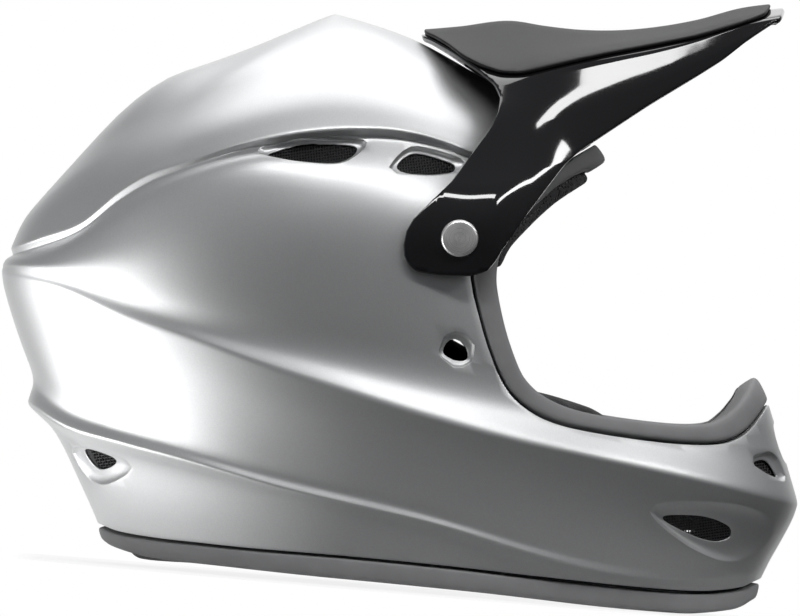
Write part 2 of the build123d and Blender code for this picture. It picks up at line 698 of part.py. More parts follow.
def visor_bush():
    """Left threaded bush with its flange behind the shell."""
    flange_y = boss_root_y - bush_flange_thickness
    flange = rod(pivot_x, pivot_z, bush_flange_radius, flange_y, boss_root_y)
    barrel = rod(pivot_x, pivot_z, bush_radius, flange_y, boss_face_y)
    bore = rod(pivot_x, pivot_z, screw_radius + running_gap, 0, far_y)
    return one(one(flange.fuse(barrel)).cut(bore))


def visor_washer():
    """Left rubber washer between the boss and the arm."""
    washer = rod(pivot_x, pivot_z, arm_washer_radius, boss_face_y, arm_inner_y)
    return one(washer.cut(rod(pivot_x, pivot_z, screw_radius + seam_gap, 0, far_y)))


# Heights of the strap's runs under and over the two D rings
lower_ring_z = strap_anchor_z - strap_drop - strap_thickness
upper_ring_z = lower_ring_z + ring_thickness + ring_gap
run_clearance = ring_thickness / 2 + seam_gap + strap_thickness / 2
under_run_z = lower_ring_z - run_clearance
over_run_z = upper_ring_z + run_clearance
ring_far_y = ring_middle_y + ring_window / 2
ring_near_y = ring_middle_y - ring_window / 2
leg_gap = seam_gap + strap_thickness / 2


def ribbon(points):
    """Webbing of the strap's width along a bent line in the y and z directions."""
    spots = [Vector(strap_anchor_x - strap_width / 2, y, z) for y, z in points]
    path = FilletPolyline(*spots, radius=strap_bend_radius)
    band = path.wire().offset_2d(strap_thickness / 2, side=Side.BOTH)
    return Solid.extrude(Face(Wire(band.edges())), Vector(strap_width, 0, 0))


def strap(points, sign):
    """One half of the strap, with the hole for its rivet."""
    webbing = ribbon([(sign * y, z) for y, z in points])
    hole = rod(strap_anchor_x, strap_anchor_z, rivet_radius + running_gap, -far_y, far_y)
    return one(webbing.cut(hole))


def strap_start():
    """Upper run of a strap half, down from its rivet and in under the cheek pad."""
    knee_z = strap_anchor_z - strap_tongue
    return [
        (strap_anchor_y, strap_anchor_z + strap_tongue),
        (strap_anchor_y, knee_z),
        (strap_anchor_y - strap_drop, under_run_z + (knee_z - under_run_z) * strap_sag_share),
    ]


def strap_left():
    """Left half, looped round the bars of both D rings."""
    leg_y = ring_far_y - leg_gap
    points = strap_start() + [(strap_anchor_y - 2 * strap_drop, under_run_z), (leg_y, under_run_z)]
    points += [(leg_y, over_run_z), (leg_y + strap_drop, over_run_z)]
    return strap(points, 1)


def strap_right():
    """Right half, threaded up through both D rings and folded back over itself."""
    leg_y = -ring_near_y - leg_gap
    points = strap_start() + [(strap_anchor_y - 2 * strap_drop, under_run_z), (leg_y, under_run_z)]
    points += [(leg_y, over_run_z), (strap_anchor_y - strap_drop, over_run_z)]
    return strap(points, -1)


def d_ring(middle_z):
    """Steel D ring, straight along its bar and round on the far side."""
    half_length = strap_width / 2 + 4 * seam_gap + ring_bar
    near_y, far_side_y = ring_near_y - ring_bar, ring_far_y + ring_bar
    low_z = middle_z - ring_thickness / 2
    low_x, high_x = strap_anchor_x - half_length, strap_anchor_x + half_length
    corners = [(low_x, far_side_y), (low_x, near_y), (high_x, near_y), (high_x, far_side_y)]
    radii = [ring_bar, 2 * ring_bar, 2 * ring_bar, ring_bar]
    rim = FilletPolyline(*[Vector(x, y, low_z) for x, y in corners], radius=radii, close=True)
    face = Face(rim.wire())
    plate = Solid.extrude(face, Vector(0, 0, ring_thickness))
    window = [(low_x + ring_bar, ring_far_y), (low_x + ring_bar, ring_near_y)]
    window += [(high_x - ring_bar, ring_near_y), (high_x - ring_bar, ring_far_y)]
    spots = [Vector(x, y, low_z) for x, y in window]
    hole = FilletPolyline(*spots, radius=ring_bar / 4, close=True)
    return one(plate.cut(Solid.extrude(Face(hole.wire()), Vector(0, 0, ring_thickness))))


def strap_anchor():
    """Left rivet, with its plate against the foam and its tail in it."""
    plate_y = anchor_plate_y
    head_y = strap_anchor_y - strap_thickness / 2 - soft_gap
    x, z = strap_anchor_x, strap_anchor_z
    head = rod(x, z, rivet_head_radius, head_y - rivet_head_thickness, head_y)
    shank = rod(x, z, rivet_radius, head_y, plate_y)
    plate = rod(x, z, anchor_plate_radius, plate_y, plate_y + anchor_plate_thickness)
    tail = rod(x, z, anchor_tail_radius, plate_y, plate_y + anchor_tail_length)
    return one(head.fuse(shank, plate, tail))


def strap_stud():
    """Press stud that parks the loose end of the strap."""
    y = -(strap_anchor_y - 2 * strap_drop)
    plane = Plane(origin=(strap_anchor_x, y, over_run_z + strap_thickness / 2))
    return Solid.make_cylinder(stud_radius, stud_thickness, plane)


def cheek_pad_studs():
    """Press studs in the foam, behind both cheek pads."""
    studs = []
    for pixel in pad_stud_pixels:
        x, z = side(pixel)
        studs += both_sides(rod(x, z, stud_radius, pad_stud_y, pad_stud_y + pad_stud_length))
    return studs


def write(name, *solids):
    """Write one node."""
    shape = solids[0] if len(solids) == 1 else Compound(children=list(solids))
    export_step(shape, "parts/" + name + ".step")
    print(name, len(solids), round(sum(solid.volume for solid in solids)))


def main():
    """Build every node."""
    write("outer_shell", outer_shell())
    write("face_trim", face_trim())
    write("bottom_trim", bottom_trim())
    crown, chin = foam_liners()
    write("crown_liner", crown)
    write("chin_liner", chin)
    write("comfort_liner", comfort_liner())
    left_pad = cheek_pad()
    write("cheek_pad_left", left_pad)
    write("cheek_pad_right", left_pad.mirror(Plane.XZ))
    write("neck_roll", roll_solid(0))
    write("brow_pad", brow_pad())
    write("chin_pad", chin_pad())
    for name, panels in mesh_panels().items():
        write(name, *panels)
    write("visor_peak", visor_peak())
    write("visor_top_panel", visor_top_panel())
    write("crown_guide", crown_guide())
    write("visor_guide_pin", guide_pin())
    left_screw, right_screw = both_sides(visor_screw())
    write("visor_screw_left", left_screw)
    write("visor_screw_right", right_screw)
    write("visor_bushes", *both_sides(visor_bush()))
    write("visor_washers", *both_sides(visor_washer()))
    write("strap_left", strap_left())
    write("strap_right", strap_right())
    write("d_rings", d_ring(lower_ring_z), d_ring(upper_ring_z))
    write("strap_anchors", *both_sides(strap_anchor()))
    write("strap_stud", strap_stud())
    write("cheek_pad_studs", *cheek_pad_studs())


main()
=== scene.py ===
# %% [markdown]
# # A full face helmet for downhill riding
# The frame is the helmet's solid model: every piece has its place and size there. This lesson
# dresses it: a moulded shell with sharp character lines, rubber trims, a gloss visor on two
# thumb screws, wire mesh behind the vents, and a soft lining with a strap.

import math

import bmesh
import bpy
import numpy as np
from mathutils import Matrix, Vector
from mathutils.bvhtree import BVHTree


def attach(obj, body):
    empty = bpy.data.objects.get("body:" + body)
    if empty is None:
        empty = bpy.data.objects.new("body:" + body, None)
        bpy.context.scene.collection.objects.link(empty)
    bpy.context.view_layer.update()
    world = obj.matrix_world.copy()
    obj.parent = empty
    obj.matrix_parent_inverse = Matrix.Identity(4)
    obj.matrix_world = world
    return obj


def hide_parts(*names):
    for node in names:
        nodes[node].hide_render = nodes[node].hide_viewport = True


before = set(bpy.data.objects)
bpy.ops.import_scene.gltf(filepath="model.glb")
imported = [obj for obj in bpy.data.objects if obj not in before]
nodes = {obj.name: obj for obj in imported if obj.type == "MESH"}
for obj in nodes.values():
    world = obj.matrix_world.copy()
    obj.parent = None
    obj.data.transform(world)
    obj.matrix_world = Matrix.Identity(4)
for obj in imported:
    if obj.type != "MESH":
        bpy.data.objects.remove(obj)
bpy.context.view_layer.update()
mm = 0.001

# %% [markdown]
# The shell, the visor and the vents are all drawn from the side, as such helmets are styled.
# A side photograph shows the helmet tipped nose down, so each pixel is turned level and scaled
# by the real length and height. Everything that follows is placed with this one function.

# %% Side view
shell_length = 366 * mm
shell_height = 254.6 * mm
half_width = 124 * mm
photo_tilt = math.radians(5)
rear_pixel, front_pixel = (2, 272), (798, 503)
floor_pixel, crown_pixel = (690, 613), (335, 14)


def levelled(pixel):
    """A pixel of the side view turned level, along and up."""
    u, v = pixel
    cos, sin = math.cos(photo_tilt), math.sin(photo_tilt)
    return u * cos + v * sin, u * sin - v * cos


rear, front = levelled(rear_pixel)[0], levelled(front_pixel)[0]
floor_up, crown_up = levelled(floor_pixel)[1], levelled(crown_pixel)[1]


def side(pixel):
    """The x and z of a pixel of the side view, in metres."""
    along, up = levelled(pixel)
    x = ((along - rear) / (front - rear) - 1 / 2) * shell_length
    return x, (up - floor_up) / (crown_up - floor_up) * shell_height


def side_line(pixels):
    """Side pixels as rows of x and z."""
    return np.array([side(pixel) for pixel in pixels])


pivot_x, pivot_z = side((459, 239))
print("one pixel is", round(shell_length / (front - rear) / mm, 3), "mm; pivot", pivot_x, pivot_z)

# %% [markdown]
# The shell is one moulding whose form is carried by its character lines: crest, vent lip, the
# long ridge from nape to chin, and the lower ridge. Each line is a ring round the helmet, given
# by its height along the side and by its width. Between the rings the surface runs straight,
# and each ring has its own softness, so a ridge can stay crisp while a bulge flows.

# %% Ring table of the shell
# softness, share of the half width, column where the ring is widest, side pixels with a draw-in
shell_rings = [
    (.50, .072, 335, [(322, 18, 1), (336, 16.5, 1), (350, 17.5, 1)]),
    (.50, .31, 325, [(240, 53, 1), (285, 41, 1), (330, 34, 1), (375, 32, 1), (412, 37, 1)]),
    (.42, .47, 325, [(145, 84, 1), (190, 84, 1), (250, 68, 1), (325, 55, 1), (400, 56, 1),
                     (470, 70, 1)]),
    (.35, .57, 325, [(36, 204, 1), (60, 184, 1), (100, 157, 1), (150, 132, 1), (200, 108, 1),
                     (260, 84, 1), (330, 71, 1), (400, 74, 1), (460, 90, 1), (540, 112, 1)]),
    (.50, .75, 325, [(22, 222, 1), (60, 203, 1), (100, 182, 1), (150, 153, 1), (200, 130, 1),
                     (260, 112, 1), (330, 102, 1), (400, 105, 1), (480, 122, 1), (598, 141, 1)]),
    (.16, .84, 325, [(11, 248, 1), (40, 239, 1), (85, 222, 1), (120, 193, 1), (150, 175, 1),
                     (180, 165, 1), (240, 146, 1), (300, 134, 1), (360, 130, 1), (400, 132, 1),
                     (440, 141, 1), (475, 154, 1), (540, 175, 1), (618, 190, 1)]),
    (.16, .84, 325, [(13, 255, .93), (40, 247, .94), (85, 229, .99), (120, 202, 1), (150, 184, 1),
                     (180, 172, 1), (240, 152, .975), (300, 142, .955), (360, 138, .952),
                     (400, 140, .952), (440, 149, .955), (475, 162, .96), (540, 184, .97),
                     (620, 205, 1)]),
    (.40, .905, 325, [(6, 259, 1), (40, 256, 1), (100, 230, 1), (150, 199, 1), (200, 178, 1),
                      (255, 163, 1), (330, 170, 1), (400, 179, 1), (475, 190, 1), (550, 215, 1),
                      (626, 240, 1)]),
    (.50, .955, 325, [(3, 264, 1), (60, 264, 1), (130, 250, 1), (200, 232, 1), (330, 222, 1),
                      (475, 232, 1), (560, 262, 1), (680, 300, 1)]),
    (.50, .96, 330, [(3, 267, 1), (60, 274, 1), (130, 283, 1), (200, 290, 1), (330, 300, 1),
                     (420, 312, 1), (500, 330, 1), (600, 350, 1), (758, 370, 1)]),
    (.40, .95, 345, [(2, 270, 1), (60, 280, 1), (130, 302, 1), (200, 324, 1), (280, 343, 1),
                     (360, 364, 1), (440, 384, 1), (500, 400, 1), (600, 418, 1), (700, 440, 1),
                     (781, 445, 1)]),
    (.18, 1.0, 380, [(2, 274, 1), (60, 287, 1), (130, 318, 1), (200, 341, 1), (280, 369, 1),
                     (360, 394, 1), (440, 418, 1), (500, 434, 1), (600, 456, 1), (700, 478, 1),
                     (798, 503, 1)]),
    (.50, .98, 380, [(4, 290, 1), (60, 310, 1), (130, 345, 1), (200, 370, 1), (280, 397, 1),
                     (360, 420, 1), (440, 442, 1), (500, 457, 1), (600, 478, 1), (700, 500, 1),
                     (793, 519, 1)]),
    (.50, .935, 375, [(19, 338, 1), (60, 358, 1), (130, 388, 1), (200, 414, 1), (280, 437, 1),
                      (360, 460, 1), (440, 480, 1), (500, 495, 1), (600, 520, 1), (700, 540, 1),
                      (781, 541, 1)]),
    (.35, .90, 370, [(35, 379, .98), (60, 402, .98), (110, 424, .99), (160, 438, 1), (240, 463, 1),
                     (320, 484, 1), (400, 503, 1), (480, 526, 1), (560, 549, 1), (660, 566, 1),
                     (770, 560, 1)]),
    (.18, .912, 365, [(27, 404, 1), (60, 424, 1), (120, 442, 1), (200, 463, 1), (280, 486, 1),
                      (360, 505, 1), (440, 524, 1), (520, 549, 1), (600, 570, 1), (680, 578, 1),
                      (764, 572, 1)]),
    (.30, .88, 365, [(57, 432, 1), (80, 443, 1), (120, 456, 1), (200, 476, 1), (280, 498, 1),
                     (360, 517, 1), (440, 536, 1), (520, 558, 1), (600, 575, 1), (680, 585, 1),
                     (760, 580, 1)]),
    (.30, .84, 365, [(100, 526, 1), (150, 538, 1), (240, 546, 1), (320, 552, 1), (400, 560, 1),
                     (480, 571, 1), (560, 581, 1), (640, 590, 1), (700, 594, 1), (756, 587, 1)]),
    (.30, .82, 365, [(108, 560, 1), (180, 573, 1), (300, 586, 1), (400, 597, 1), (500, 609, 1),
                     (600, 620, 1), (700, 628, 1), (752, 622, 1)]),
]
columns_round = 240
print("rings of the shell:", len(shell_rings))

# %% [markdown]
# A ring could be a curve object, but plain arrays are quicker to bend by rule. Each ring is an
# ellipse in plan whose height and width follow smooth lines through its chosen points.

# %% From the table to rings


def through(places, values, at):
    """Values at places on a smooth line through given points."""
    places, values = np.asarray(places, float), np.asarray(values, float)
    steps = np.diff(places)
    slopes = np.diff(values) / steps
    ends = np.zeros(len(places))
    ends[1:-1] = (slopes[:-1] * steps[1:] + slopes[1:] * steps[:-1]) / (steps[:-1] + steps[1:])
    ends[0], ends[-1] = slopes[0], slopes[-1]
    index = np.clip(np.searchsorted(places, at) - 1, 0, len(places) - 2)
    t = np.clip((at - places[index]) / steps[index], 0, 1)
    rise = values[index + 1] - values[index]
    start = (ends[index] * steps[index] - rise) * t * (1 - t) ** 2
    stop = (rise - ends[index + 1] * steps[index]) * t ** 2 * (1 - t)
    return values[index] + rise * t + start + stop


def shell_ring(row):
    """Points of one ring, from the rear round the left side to the front and back."""
    _, share, widest_column, places = row
    spots = side_line([(u, v) for u, v, _ in places])
    draws = [draw for _, _, draw in places]
    middle_x = side((widest_column, places[len(places) // 2][1]))[0]
    angle = np.arange(columns_round) / columns_round * 2 * math.pi
    reach = np.where(np.cos(angle) > 0, middle_x - spots[0, 0], spots[-1, 0] - middle_x)
    x = middle_x - reach * np.cos(angle)
    y = half_width * share * np.sin(angle) * through(spots[:, 0], draws, x)
    return np.stack([x, y, through(spots[:, 0], spots[:, 1], x)], axis=-1)


# %% [markdown]
# The rings are joined by straight rows and each corner is rounded by its own share, which is
# what a sharp or a soft ridge means on a moulding. The rows then become one sheet of quads.

# %% From rings to a sheet


def softened(rows, softness, straight=3, corner=5):
    """Rows of points with each inner row rounded off towards its neighbours."""
    result = [rows[0]]
    for index in range(1, len(rows) - 1):
        soft = softness[index]
        before = rows[index] + (rows[index - 1] - rows[index]) * soft
        after = rows[index] + (rows[index + 1] - rows[index]) * soft
        last = result[-1]
        result += [last + (before - last) * step / straight for step in range(1, straight)]
        for step in range(corner + 1):
            t = step / corner
            result.append((1 - t) ** 2 * before + 2 * t * (1 - t) * rows[index] + t * t * after)
    last = result[-1]
    result += [last + (rows[-1] - last) * step / straight for step in range(1, straight + 1)]
    return np.array(result)


def grid_sheet(rows, closed):
    """Sheet of quads through rows of points; closed joins the last column to the first."""
    sheet = bmesh.new()
    verts = [[sheet.verts.new(point) for point in row] for row in rows]
    count = len(verts[0])
    for upper, lower in zip(verts, verts[1:]):
        for index in range(count if closed else count - 1):
            after = (index + 1) % count
            sheet.faces.new((upper[index], lower[index], lower[after], upper[after]))
    bmesh.ops.remove_doubles(sheet, verts=sheet.verts, dist=1e-6)
    for face in [f for f in sheet.faces if f.calc_area() < 1e-12]:
        sheet.faces.remove(face)
    sheet.normal_update()
    return sheet


def band_faces(rows, columns, closed=False):
    """Quads between rows that each run round; closed joins the last row to the first."""
    faces = []
    for row in range(rows if closed else rows - 1):
        below = (row + 1) % rows
        for index in range(columns):
            after = (index + 1) % columns
            faces.append([row * columns + index, row * columns + after,
                          below * columns + after, below * columns + index])
    return faces


# %% Shell surface
crest_softness = 0.5
crown_share = 0.94
crest = np.array([[side(crown_pixel)[0], 0, side(crown_pixel)[1]]] * columns_round)
ring_rows = [crest] + [shell_ring(row) for row in shell_rings]
shell_surface = softened(ring_rows, [crest_softness] + [row[0] for row in shell_rings])
master = grid_sheet(shell_surface, closed=True)
upright = sum(face.normal.z for face in master.faces
              if face.calc_center_median().z > crown_share * shell_height)
if upright < 0:
    bmesh.ops.reverse_faces(master, faces=master.faces)
master_tree = BVHTree.FromBMesh(master)
print("shell surface:", len(master.faces), "faces, faces up:", upright)

# %% [markdown]
# Openings are cut where a smooth side line crosses the sheet. Every edge that crosses the line
# gets a point exactly on it, so the cut runs clean whatever the grid does. The cut sheet is then
# given its wall, and its rim is rolled over with a small radius, because a moulded edge that
# catches no light never looks real.

# %% Smooth outlines


def smooth_points(points, closed=False, parts=8):
    """A dense smooth line through points, by rounding between each four of them."""
    points = np.asarray(points, float)
    count = len(points)
    result = []
    for index in range(count if closed else count - 1):
        if closed:
            four = [points[(index + offset) % count] for offset in (-1, 0, 1, 2)]
        else:
            four = [points[min(max(index + offset, 0), count - 1)] for offset in (-1, 0, 1, 2)]
        for part in range(parts):
            t = part / parts
            a, b, c, d = four
            result.append(0.5 * (2 * b + (c - a) * t + (2 * a - 5 * b + 4 * c - d) * t ** 2
                                 + (3 * b - a - 3 * c + d) * t ** 3))
    if not closed:
        result.append(points[-1])
    return np.array(result)


def rounded_points(points, rounds=4, share=0.2):
    """A closed outline with its corners cut off again and again."""
    points = np.asarray(points, float)
    for _ in range(rounds):
        after = np.roll(points, -1, axis=0)
        first = points + (after - points) * share
        second = points + (after - points) * (1 - share)
        points = np.stack([first, second], axis=1).reshape(-1, 2)
        share = 0.25
    return points


def evened(points, rounds):
    """A closed row of points, each drawn a little towards its neighbours, round after round."""
    for _ in range(rounds):
        points = (np.roll(points, 1, axis=0) + 2 * points + np.roll(points, -1, axis=0)) / 4
    return points


def walked(points, count=None, step=None, closed=False):
    """A line walked in nearly equal steps, by their count or their length."""
    if closed:
        points = np.vstack([points, points[:1]])
    run = np.concatenate([[0], np.cumsum(np.linalg.norm(np.diff(points, axis=0), axis=1))])
    at = np.linspace(0, run[-1], count or int(run[-1] / step), endpoint=not closed)
    return np.stack([np.interp(at, run, values) for values in np.transpose(points)], axis=1)


# %% Cutting a sheet


def side_distance(outline, points):
    """Distance of points from a closed side outline, negative inside it."""
    start, end = outline, np.roll(outline, -1, axis=0)
    place = np.asarray(points)[:, [0, 2]]
    along = end - start
    length = np.maximum((along ** 2).sum(axis=1), 1e-18)
    best = np.full(len(place), 1e9)
    inside = np.zeros(len(place), bool)
    for a, b, run, square in zip(start, end, along, length):
        t = np.clip(((place - a) @ run) / square, 0, 1)
        gap = place - a - t[:, None] * run
        best = np.minimum(best, (gap ** 2).sum(axis=1))
        crosses = (a[1] > place[:, 1]) != (b[1] > place[:, 1])
        rise = b[1] - a[1] if b[1] != a[1] else 1e-12
        inside ^= crosses & (place[:, 0] < a[0] + (place[:, 1] - a[1]) / rise * run[0])
    return np.where(inside, -1, 1) * np.sqrt(best)


def cut_sheet(sheet, values):
    """Cuts a sheet where its values, one for each point, pass zero; the positive side stays."""
    values = np.where(np.abs(values) < 1e-7, 1e-7, values)
    sheet.verts.ensure_lookup_table()
    height = dict(zip(sheet.verts, values))
    cuts = set()
    for edge in list(sheet.edges):
        a, b = edge.verts
        if height[a] * height[b] < 0:
            share = height[a] / (height[a] - height[b])
            _, vert = bmesh.utils.edge_split(edge, a, min(max(share, 1e-4), 1 - 1e-4))
            cuts.add(vert)
    for face in list(sheet.faces):
        on_line = [vert for vert in face.verts if vert in cuts]
        if len(on_line) == 2:
            try:
                bmesh.utils.face_split(face, on_line[0], on_line[1])
            except ValueError:
                pass
    gone = [vert for vert in sheet.verts if vert not in cuts and height[vert] < 0]
    bmesh.ops.delete(sheet, geom=gone, context="VERTS")
    bmesh.ops.dissolve_degenerate(sheet, dist=2e-5, edges=sheet.edges)
    sheet.normal_update()


def positions(sheet):
    """Points of a sheet as an array."""
    return np.array([vert.co[:] for vert in sheet.verts])


def rim_loops(sheet):
    """Open rims of a sheet, each as its points in order."""
    follow = {}
    for edge in sheet.edges:
        if edge.is_boundary:
            loop = edge.link_loops[0]
            follow[loop.vert] = loop.link_loop_next.vert
    loops = []
    while follow:
        start = next(iter(follow))
        loop = [start]
        after = follow.pop(start)
        while after in follow:
            loop.append(after)
            after = follow.pop(after)
        loops.append(loop)
    return loops


# %% [markdown]
# Solidify gives a sheet its wall, but leaves square rims. Here the inner copy and the rolled rim
# are built point by point, and a recess can ask for a thinner wall through the layer "sunk".

# %% Giving a sheet its wall


def thickened(sheet, wall, radius, steps=3, least=0.8 * mm):
    """Closed solid from a sheet: an inner copy one wall down, joined by rolled rims."""
    sheet.verts.ensure_lookup_table()
    sheet.verts.index_update()
    points = positions(sheet)
    normals = np.array([vert.normal[:] for vert in sheet.verts])
    sunk = sheet.verts.layers.float.get("sunk")
    depths = np.array([vert[sunk] if sunk else 0.0 for vert in sheet.verts])
    walls = np.maximum(wall - depths, least)
    count = len(points)
    verts = list(points) + list(points - normals * walls[:, None])
    faces = [[vert.index for vert in face.verts] for face in sheet.faces]
    faces += [[vert.index + count for vert in reversed(face.verts)] for face in sheet.faces]
    for loop in rim_loops(sheet):
        indices = [vert.index for vert in loop]
        size = len(indices)
        outward = []
        for place in range(size):
            before, after = (points[indices[(place + k) % size]] for k in (-1, 1))
            away = np.cross(after - before, normals[indices[place]])
            outward.append(away / max(np.linalg.norm(away), 1e-9))
        chain = [indices]
        for step in range(1, 2 * steps):
            angle = math.pi * step / (2 * steps)
            row = []
            for place, index in enumerate(indices):
                reach = min(radius, walls[index] / 2)
                down = walls[index] / 2 * (1 - math.cos(angle))
                row.append(len(verts))
                verts.append(points[index] + outward[place] * reach * math.sin(angle)
                             - normals[index] * down)
            chain.append(row)
        chain.append([index + count for index in indices])
        for upper, lower in zip(chain, chain[1:]):
            for place in range(size):
                after = (place + 1) % size
                faces.append([upper[after], upper[place], lower[place], lower[after]])
    return verts, faces


# %% [markdown]
# A piece starts as a loose mesh object, often of several parts. Once it is whole it gets its
# finish and its smooth shading, it is hung on the body it rides on, and the node it stands for is
# hidden.

# %% Loose meshes and finished pieces


def linked(name, data):
    """A new object of some data, put into the scene."""
    obj = bpy.data.objects.new(name, data)
    bpy.context.collection.objects.link(obj)
    return obj


def mesh_object(name, verts, faces, edges=()):
    """A loose mesh object, for drafts."""
    mesh = bpy.data.meshes.new(name)
    mesh.from_pydata([tuple(vert) for vert in verts], edges, faces)
    mesh.validate()
    return linked(name, mesh)


def outward(obj):
    """Turns all faces of a closed mesh outward."""
    mesh = bmesh.new()
    mesh.from_mesh(obj.data)
    bmesh.ops.recalc_face_normals(mesh, faces=mesh.faces)
    mesh.to_mesh(obj.data)
    mesh.free()


def applied(obj):
    """Applies the modifiers of an object to its mesh."""
    graph = bpy.context.evaluated_depsgraph_get()
    mesh = bpy.data.meshes.new_from_object(obj.evaluated_get(graph))
    obj.modifiers.clear()
    obj.data = mesh


def joined(objects, name):
    """One loose object of several."""
    mesh = bmesh.new()
    for obj in objects:
        mesh.from_mesh(obj.data)
        bpy.data.objects.remove(obj)
    data = bpy.data.meshes.new(name)
    mesh.to_mesh(data)
    mesh.free()
    return linked(name, data)


def finish_piece(obj, body, node=None):
    """Hangs a piece on the body it rides on and hides the node that it stands for."""
    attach(obj, body)
    if node:
        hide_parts(node)
    triangles = sum(len(polygon.vertices) - 2 for polygon in obj.data.polygons)
    print(obj.name, "has", triangles, "triangles")


def settled(draft, name, finish, body, node=None, smooth_angle=40):
    """Turns a loose object into a finished piece."""
    made = mesh_object(name, [vert.co for vert in draft.data.vertices],
                       [list(polygon.vertices) for polygon in draft.data.polygons])
    made.data.shade_smooth()
    made.data.set_sharp_from_angle(angle=math.radians(smooth_angle))
    made.data.materials.append(finishes[finish])
    finish_piece(made, body, node)
    bpy.data.objects.remove(draft)
    return made


# %% [markdown]
# Finishes come before the pieces. Each one is a small node tree on Object coordinates, so that
# its grain has a real size in metres and stays with the piece. A number that is the same all
# over sits on the shader's own socket, and only what changes over the surface gets nodes.

# %% Helpers for finishes


def add_node(tree, kind, values=None, **settings):
    """A node of any tree with its settings, and with a value or a link for each named input."""
    node = tree.nodes.new(kind)
    for key, value in settings.items():
        setattr(node, key, value)
    for key, value in (values or {}).items():
        if isinstance(value, bpy.types.NodeSocket):
            tree.links.new(value, node.inputs[key])
        else:
            node.inputs[key].default_value = value
    return node


class Finish:
    """A node material with one main shader, built a line at a time."""

    def __init__(self, name, colour, roughness, metallic=0.0, **sockets):
        self.material = bpy.data.materials.new(name)
        self.material.use_nodes = True
        self.tree = self.material.node_tree
        self.shader = self.tree.nodes["Principled BSDF"]
        self.set("Base Color", (*colour, 1))
        self.set("Roughness", roughness)
        self.set("Metallic", metallic)
        for socket, value in sockets.items():
            self.set(socket.replace("_", " "), value)
        self.colour = colour
        self.material.diffuse_color = (*colour, 1)

    def set(self, socket, value):
        self.shader.inputs[socket].default_value = value

    def node(self, kind, values=None, **settings):
        return add_node(self.tree, "ShaderNode" + kind, values, **settings)

    def join(self, output, target):
        self.tree.links.new(output, target)

    def place(self, scale=(1, 1, 1), turn=(0, 0, 0), uv=False):
        """Object coordinates, or the piece's own UV map, scaled and turned."""
        source = self.node("TexCoord").outputs["UV" if uv else "Object"]
        mapping = self.node("Mapping", {"Vector": source, "Scale": scale, "Rotation": turn})
        return mapping.outputs["Vector"]

    def noise(self, scale, detail=3.0, roughness=0.55, place=None):
        """Value of a noise whose grains are one over the scale in metres."""
        return self.node("TexNoise", {"Vector": place or self.place(), "Scale": scale,
                                      "Detail": detail, "Roughness": roughness}).outputs["Fac"]

    def cells(self, scale, place=None, output="Distance"):
        """Cells of a real size, such as foam beads or knit holes."""
        values = {"Vector": place or self.place(), "Scale": scale}
        return self.node("TexVoronoi", values).outputs[output]

    def ramp(self, value, low, high, low_at=0.0, high_at=1.0):
        """Maps a value to a range between two numbers."""
        return self.node("MapRange", {"Value": value, "From Min": low_at, "From Max": high_at,
                                      "To Min": low, "To Max": high}).outputs["Result"]

    def tint(self, value, dark, light):
        """Base colour that runs between two shades by a value."""
        shades = [(*[channel * share for channel in self.colour], 1) for share in (dark, light)]
        node = self.node("Mix", data_type="RGBA")
        node.inputs["A"].default_value, node.inputs["B"].default_value = shades
        self.join(value, node.inputs["Factor"])
        self.join(node.outputs["Result"], self.shader.inputs["Base Color"])

    def rough(self, value, low, high):
        self.join(self.ramp(value, low, high), self.shader.inputs["Roughness"])

    def bump(self, value, depth, strength=1.0):
        """Relief of a depth in metres."""
        node = self.node("Bump", {"Height": value, "Distance": depth, "Strength": strength})
        last = self.shader.inputs["Normal"]
        if last.is_linked:
            self.join(last.links[0].from_socket, node.inputs["Normal"])
        self.join(node.outputs["Normal"], last)


def shell_paint():
    """Satin silver paint: fine metal flake under a satin clear coat."""
    paint = Finish("shell_paint", (.62, .625, .63), .44, .8, Coat_Weight=.2, Coat_Roughness=.3)
    flake = paint.cells(2600, output="Color")
    grey = paint.node("RGBToBW")
    paint.join(flake, grey.inputs["Color"])
    paint.tint(grey.outputs["Val"], .95, 1.04)
    cloud = paint.noise(28)
    paint.rough(cloud, .42, .46)
    paint.bump(paint.noise(900, detail=1), .00001)
    return paint.material


def trim_rubber():
    """Grey soft rubber, with the dull bloom and fine pitting of a moulded rim."""
    rubber = Finish("trim_rubber", (.25, .25, .255), .6, Specular_IOR_Level=.45)
    bloom = rubber.noise(60, detail=4)
    rubber.tint(bloom, .82, 1.2)
    rubber.rough(bloom, .55, .72)
    rubber.bump(rubber.noise(2400, detail=2), .00004)
    return rubber.material


def visor_gloss():
    """Gloss black moulding with the faint waviness that injected parts have."""
    gloss = Finish("visor_gloss", (.008, .008, .009), .07, Coat_Weight=.6, Coat_Roughness=.03)
    wave = gloss.noise(38, detail=2)
    gloss.rough(wave, .05, .1)
    gloss.bump(wave, .00008)
    return gloss.material


def visor_matte():
    """Matte black panel with a spark-eroded grain."""
    matte = Finish("visor_matte", (.010, .010, .011), .47, Specular_IOR_Level=.3)
    grain = matte.noise(1900, detail=3)
    matte.tint(matte.noise(50), .85, 1.2)
    matte.rough(grain, .42, .58)
    matte.bump(grain, .00005)
    return matte.material


def foam_beads():
    """Moulded bead foam: round beads pressed flat against each other."""
    foam = Finish("foam_beads", (.03, .03, .032), .8)
    beads = foam.cells(420)
    foam.tint(beads, 1.3, .7)
    foam.rough(beads, .72, .9)
    foam.bump(beads, .0004)
    return foam.material


def plated_steel():
    """Nickel plated steel with soft scratches."""
    steel = Finish("plated_steel", (.62, .61, .59), .24, 1.0)
    scratch = steel.noise(90, detail=6, place=steel.place(scale=(1, 12, 1)))
    steel.rough(scratch, .18, .36)
    steel.bump(scratch, .00001)
    return steel.material


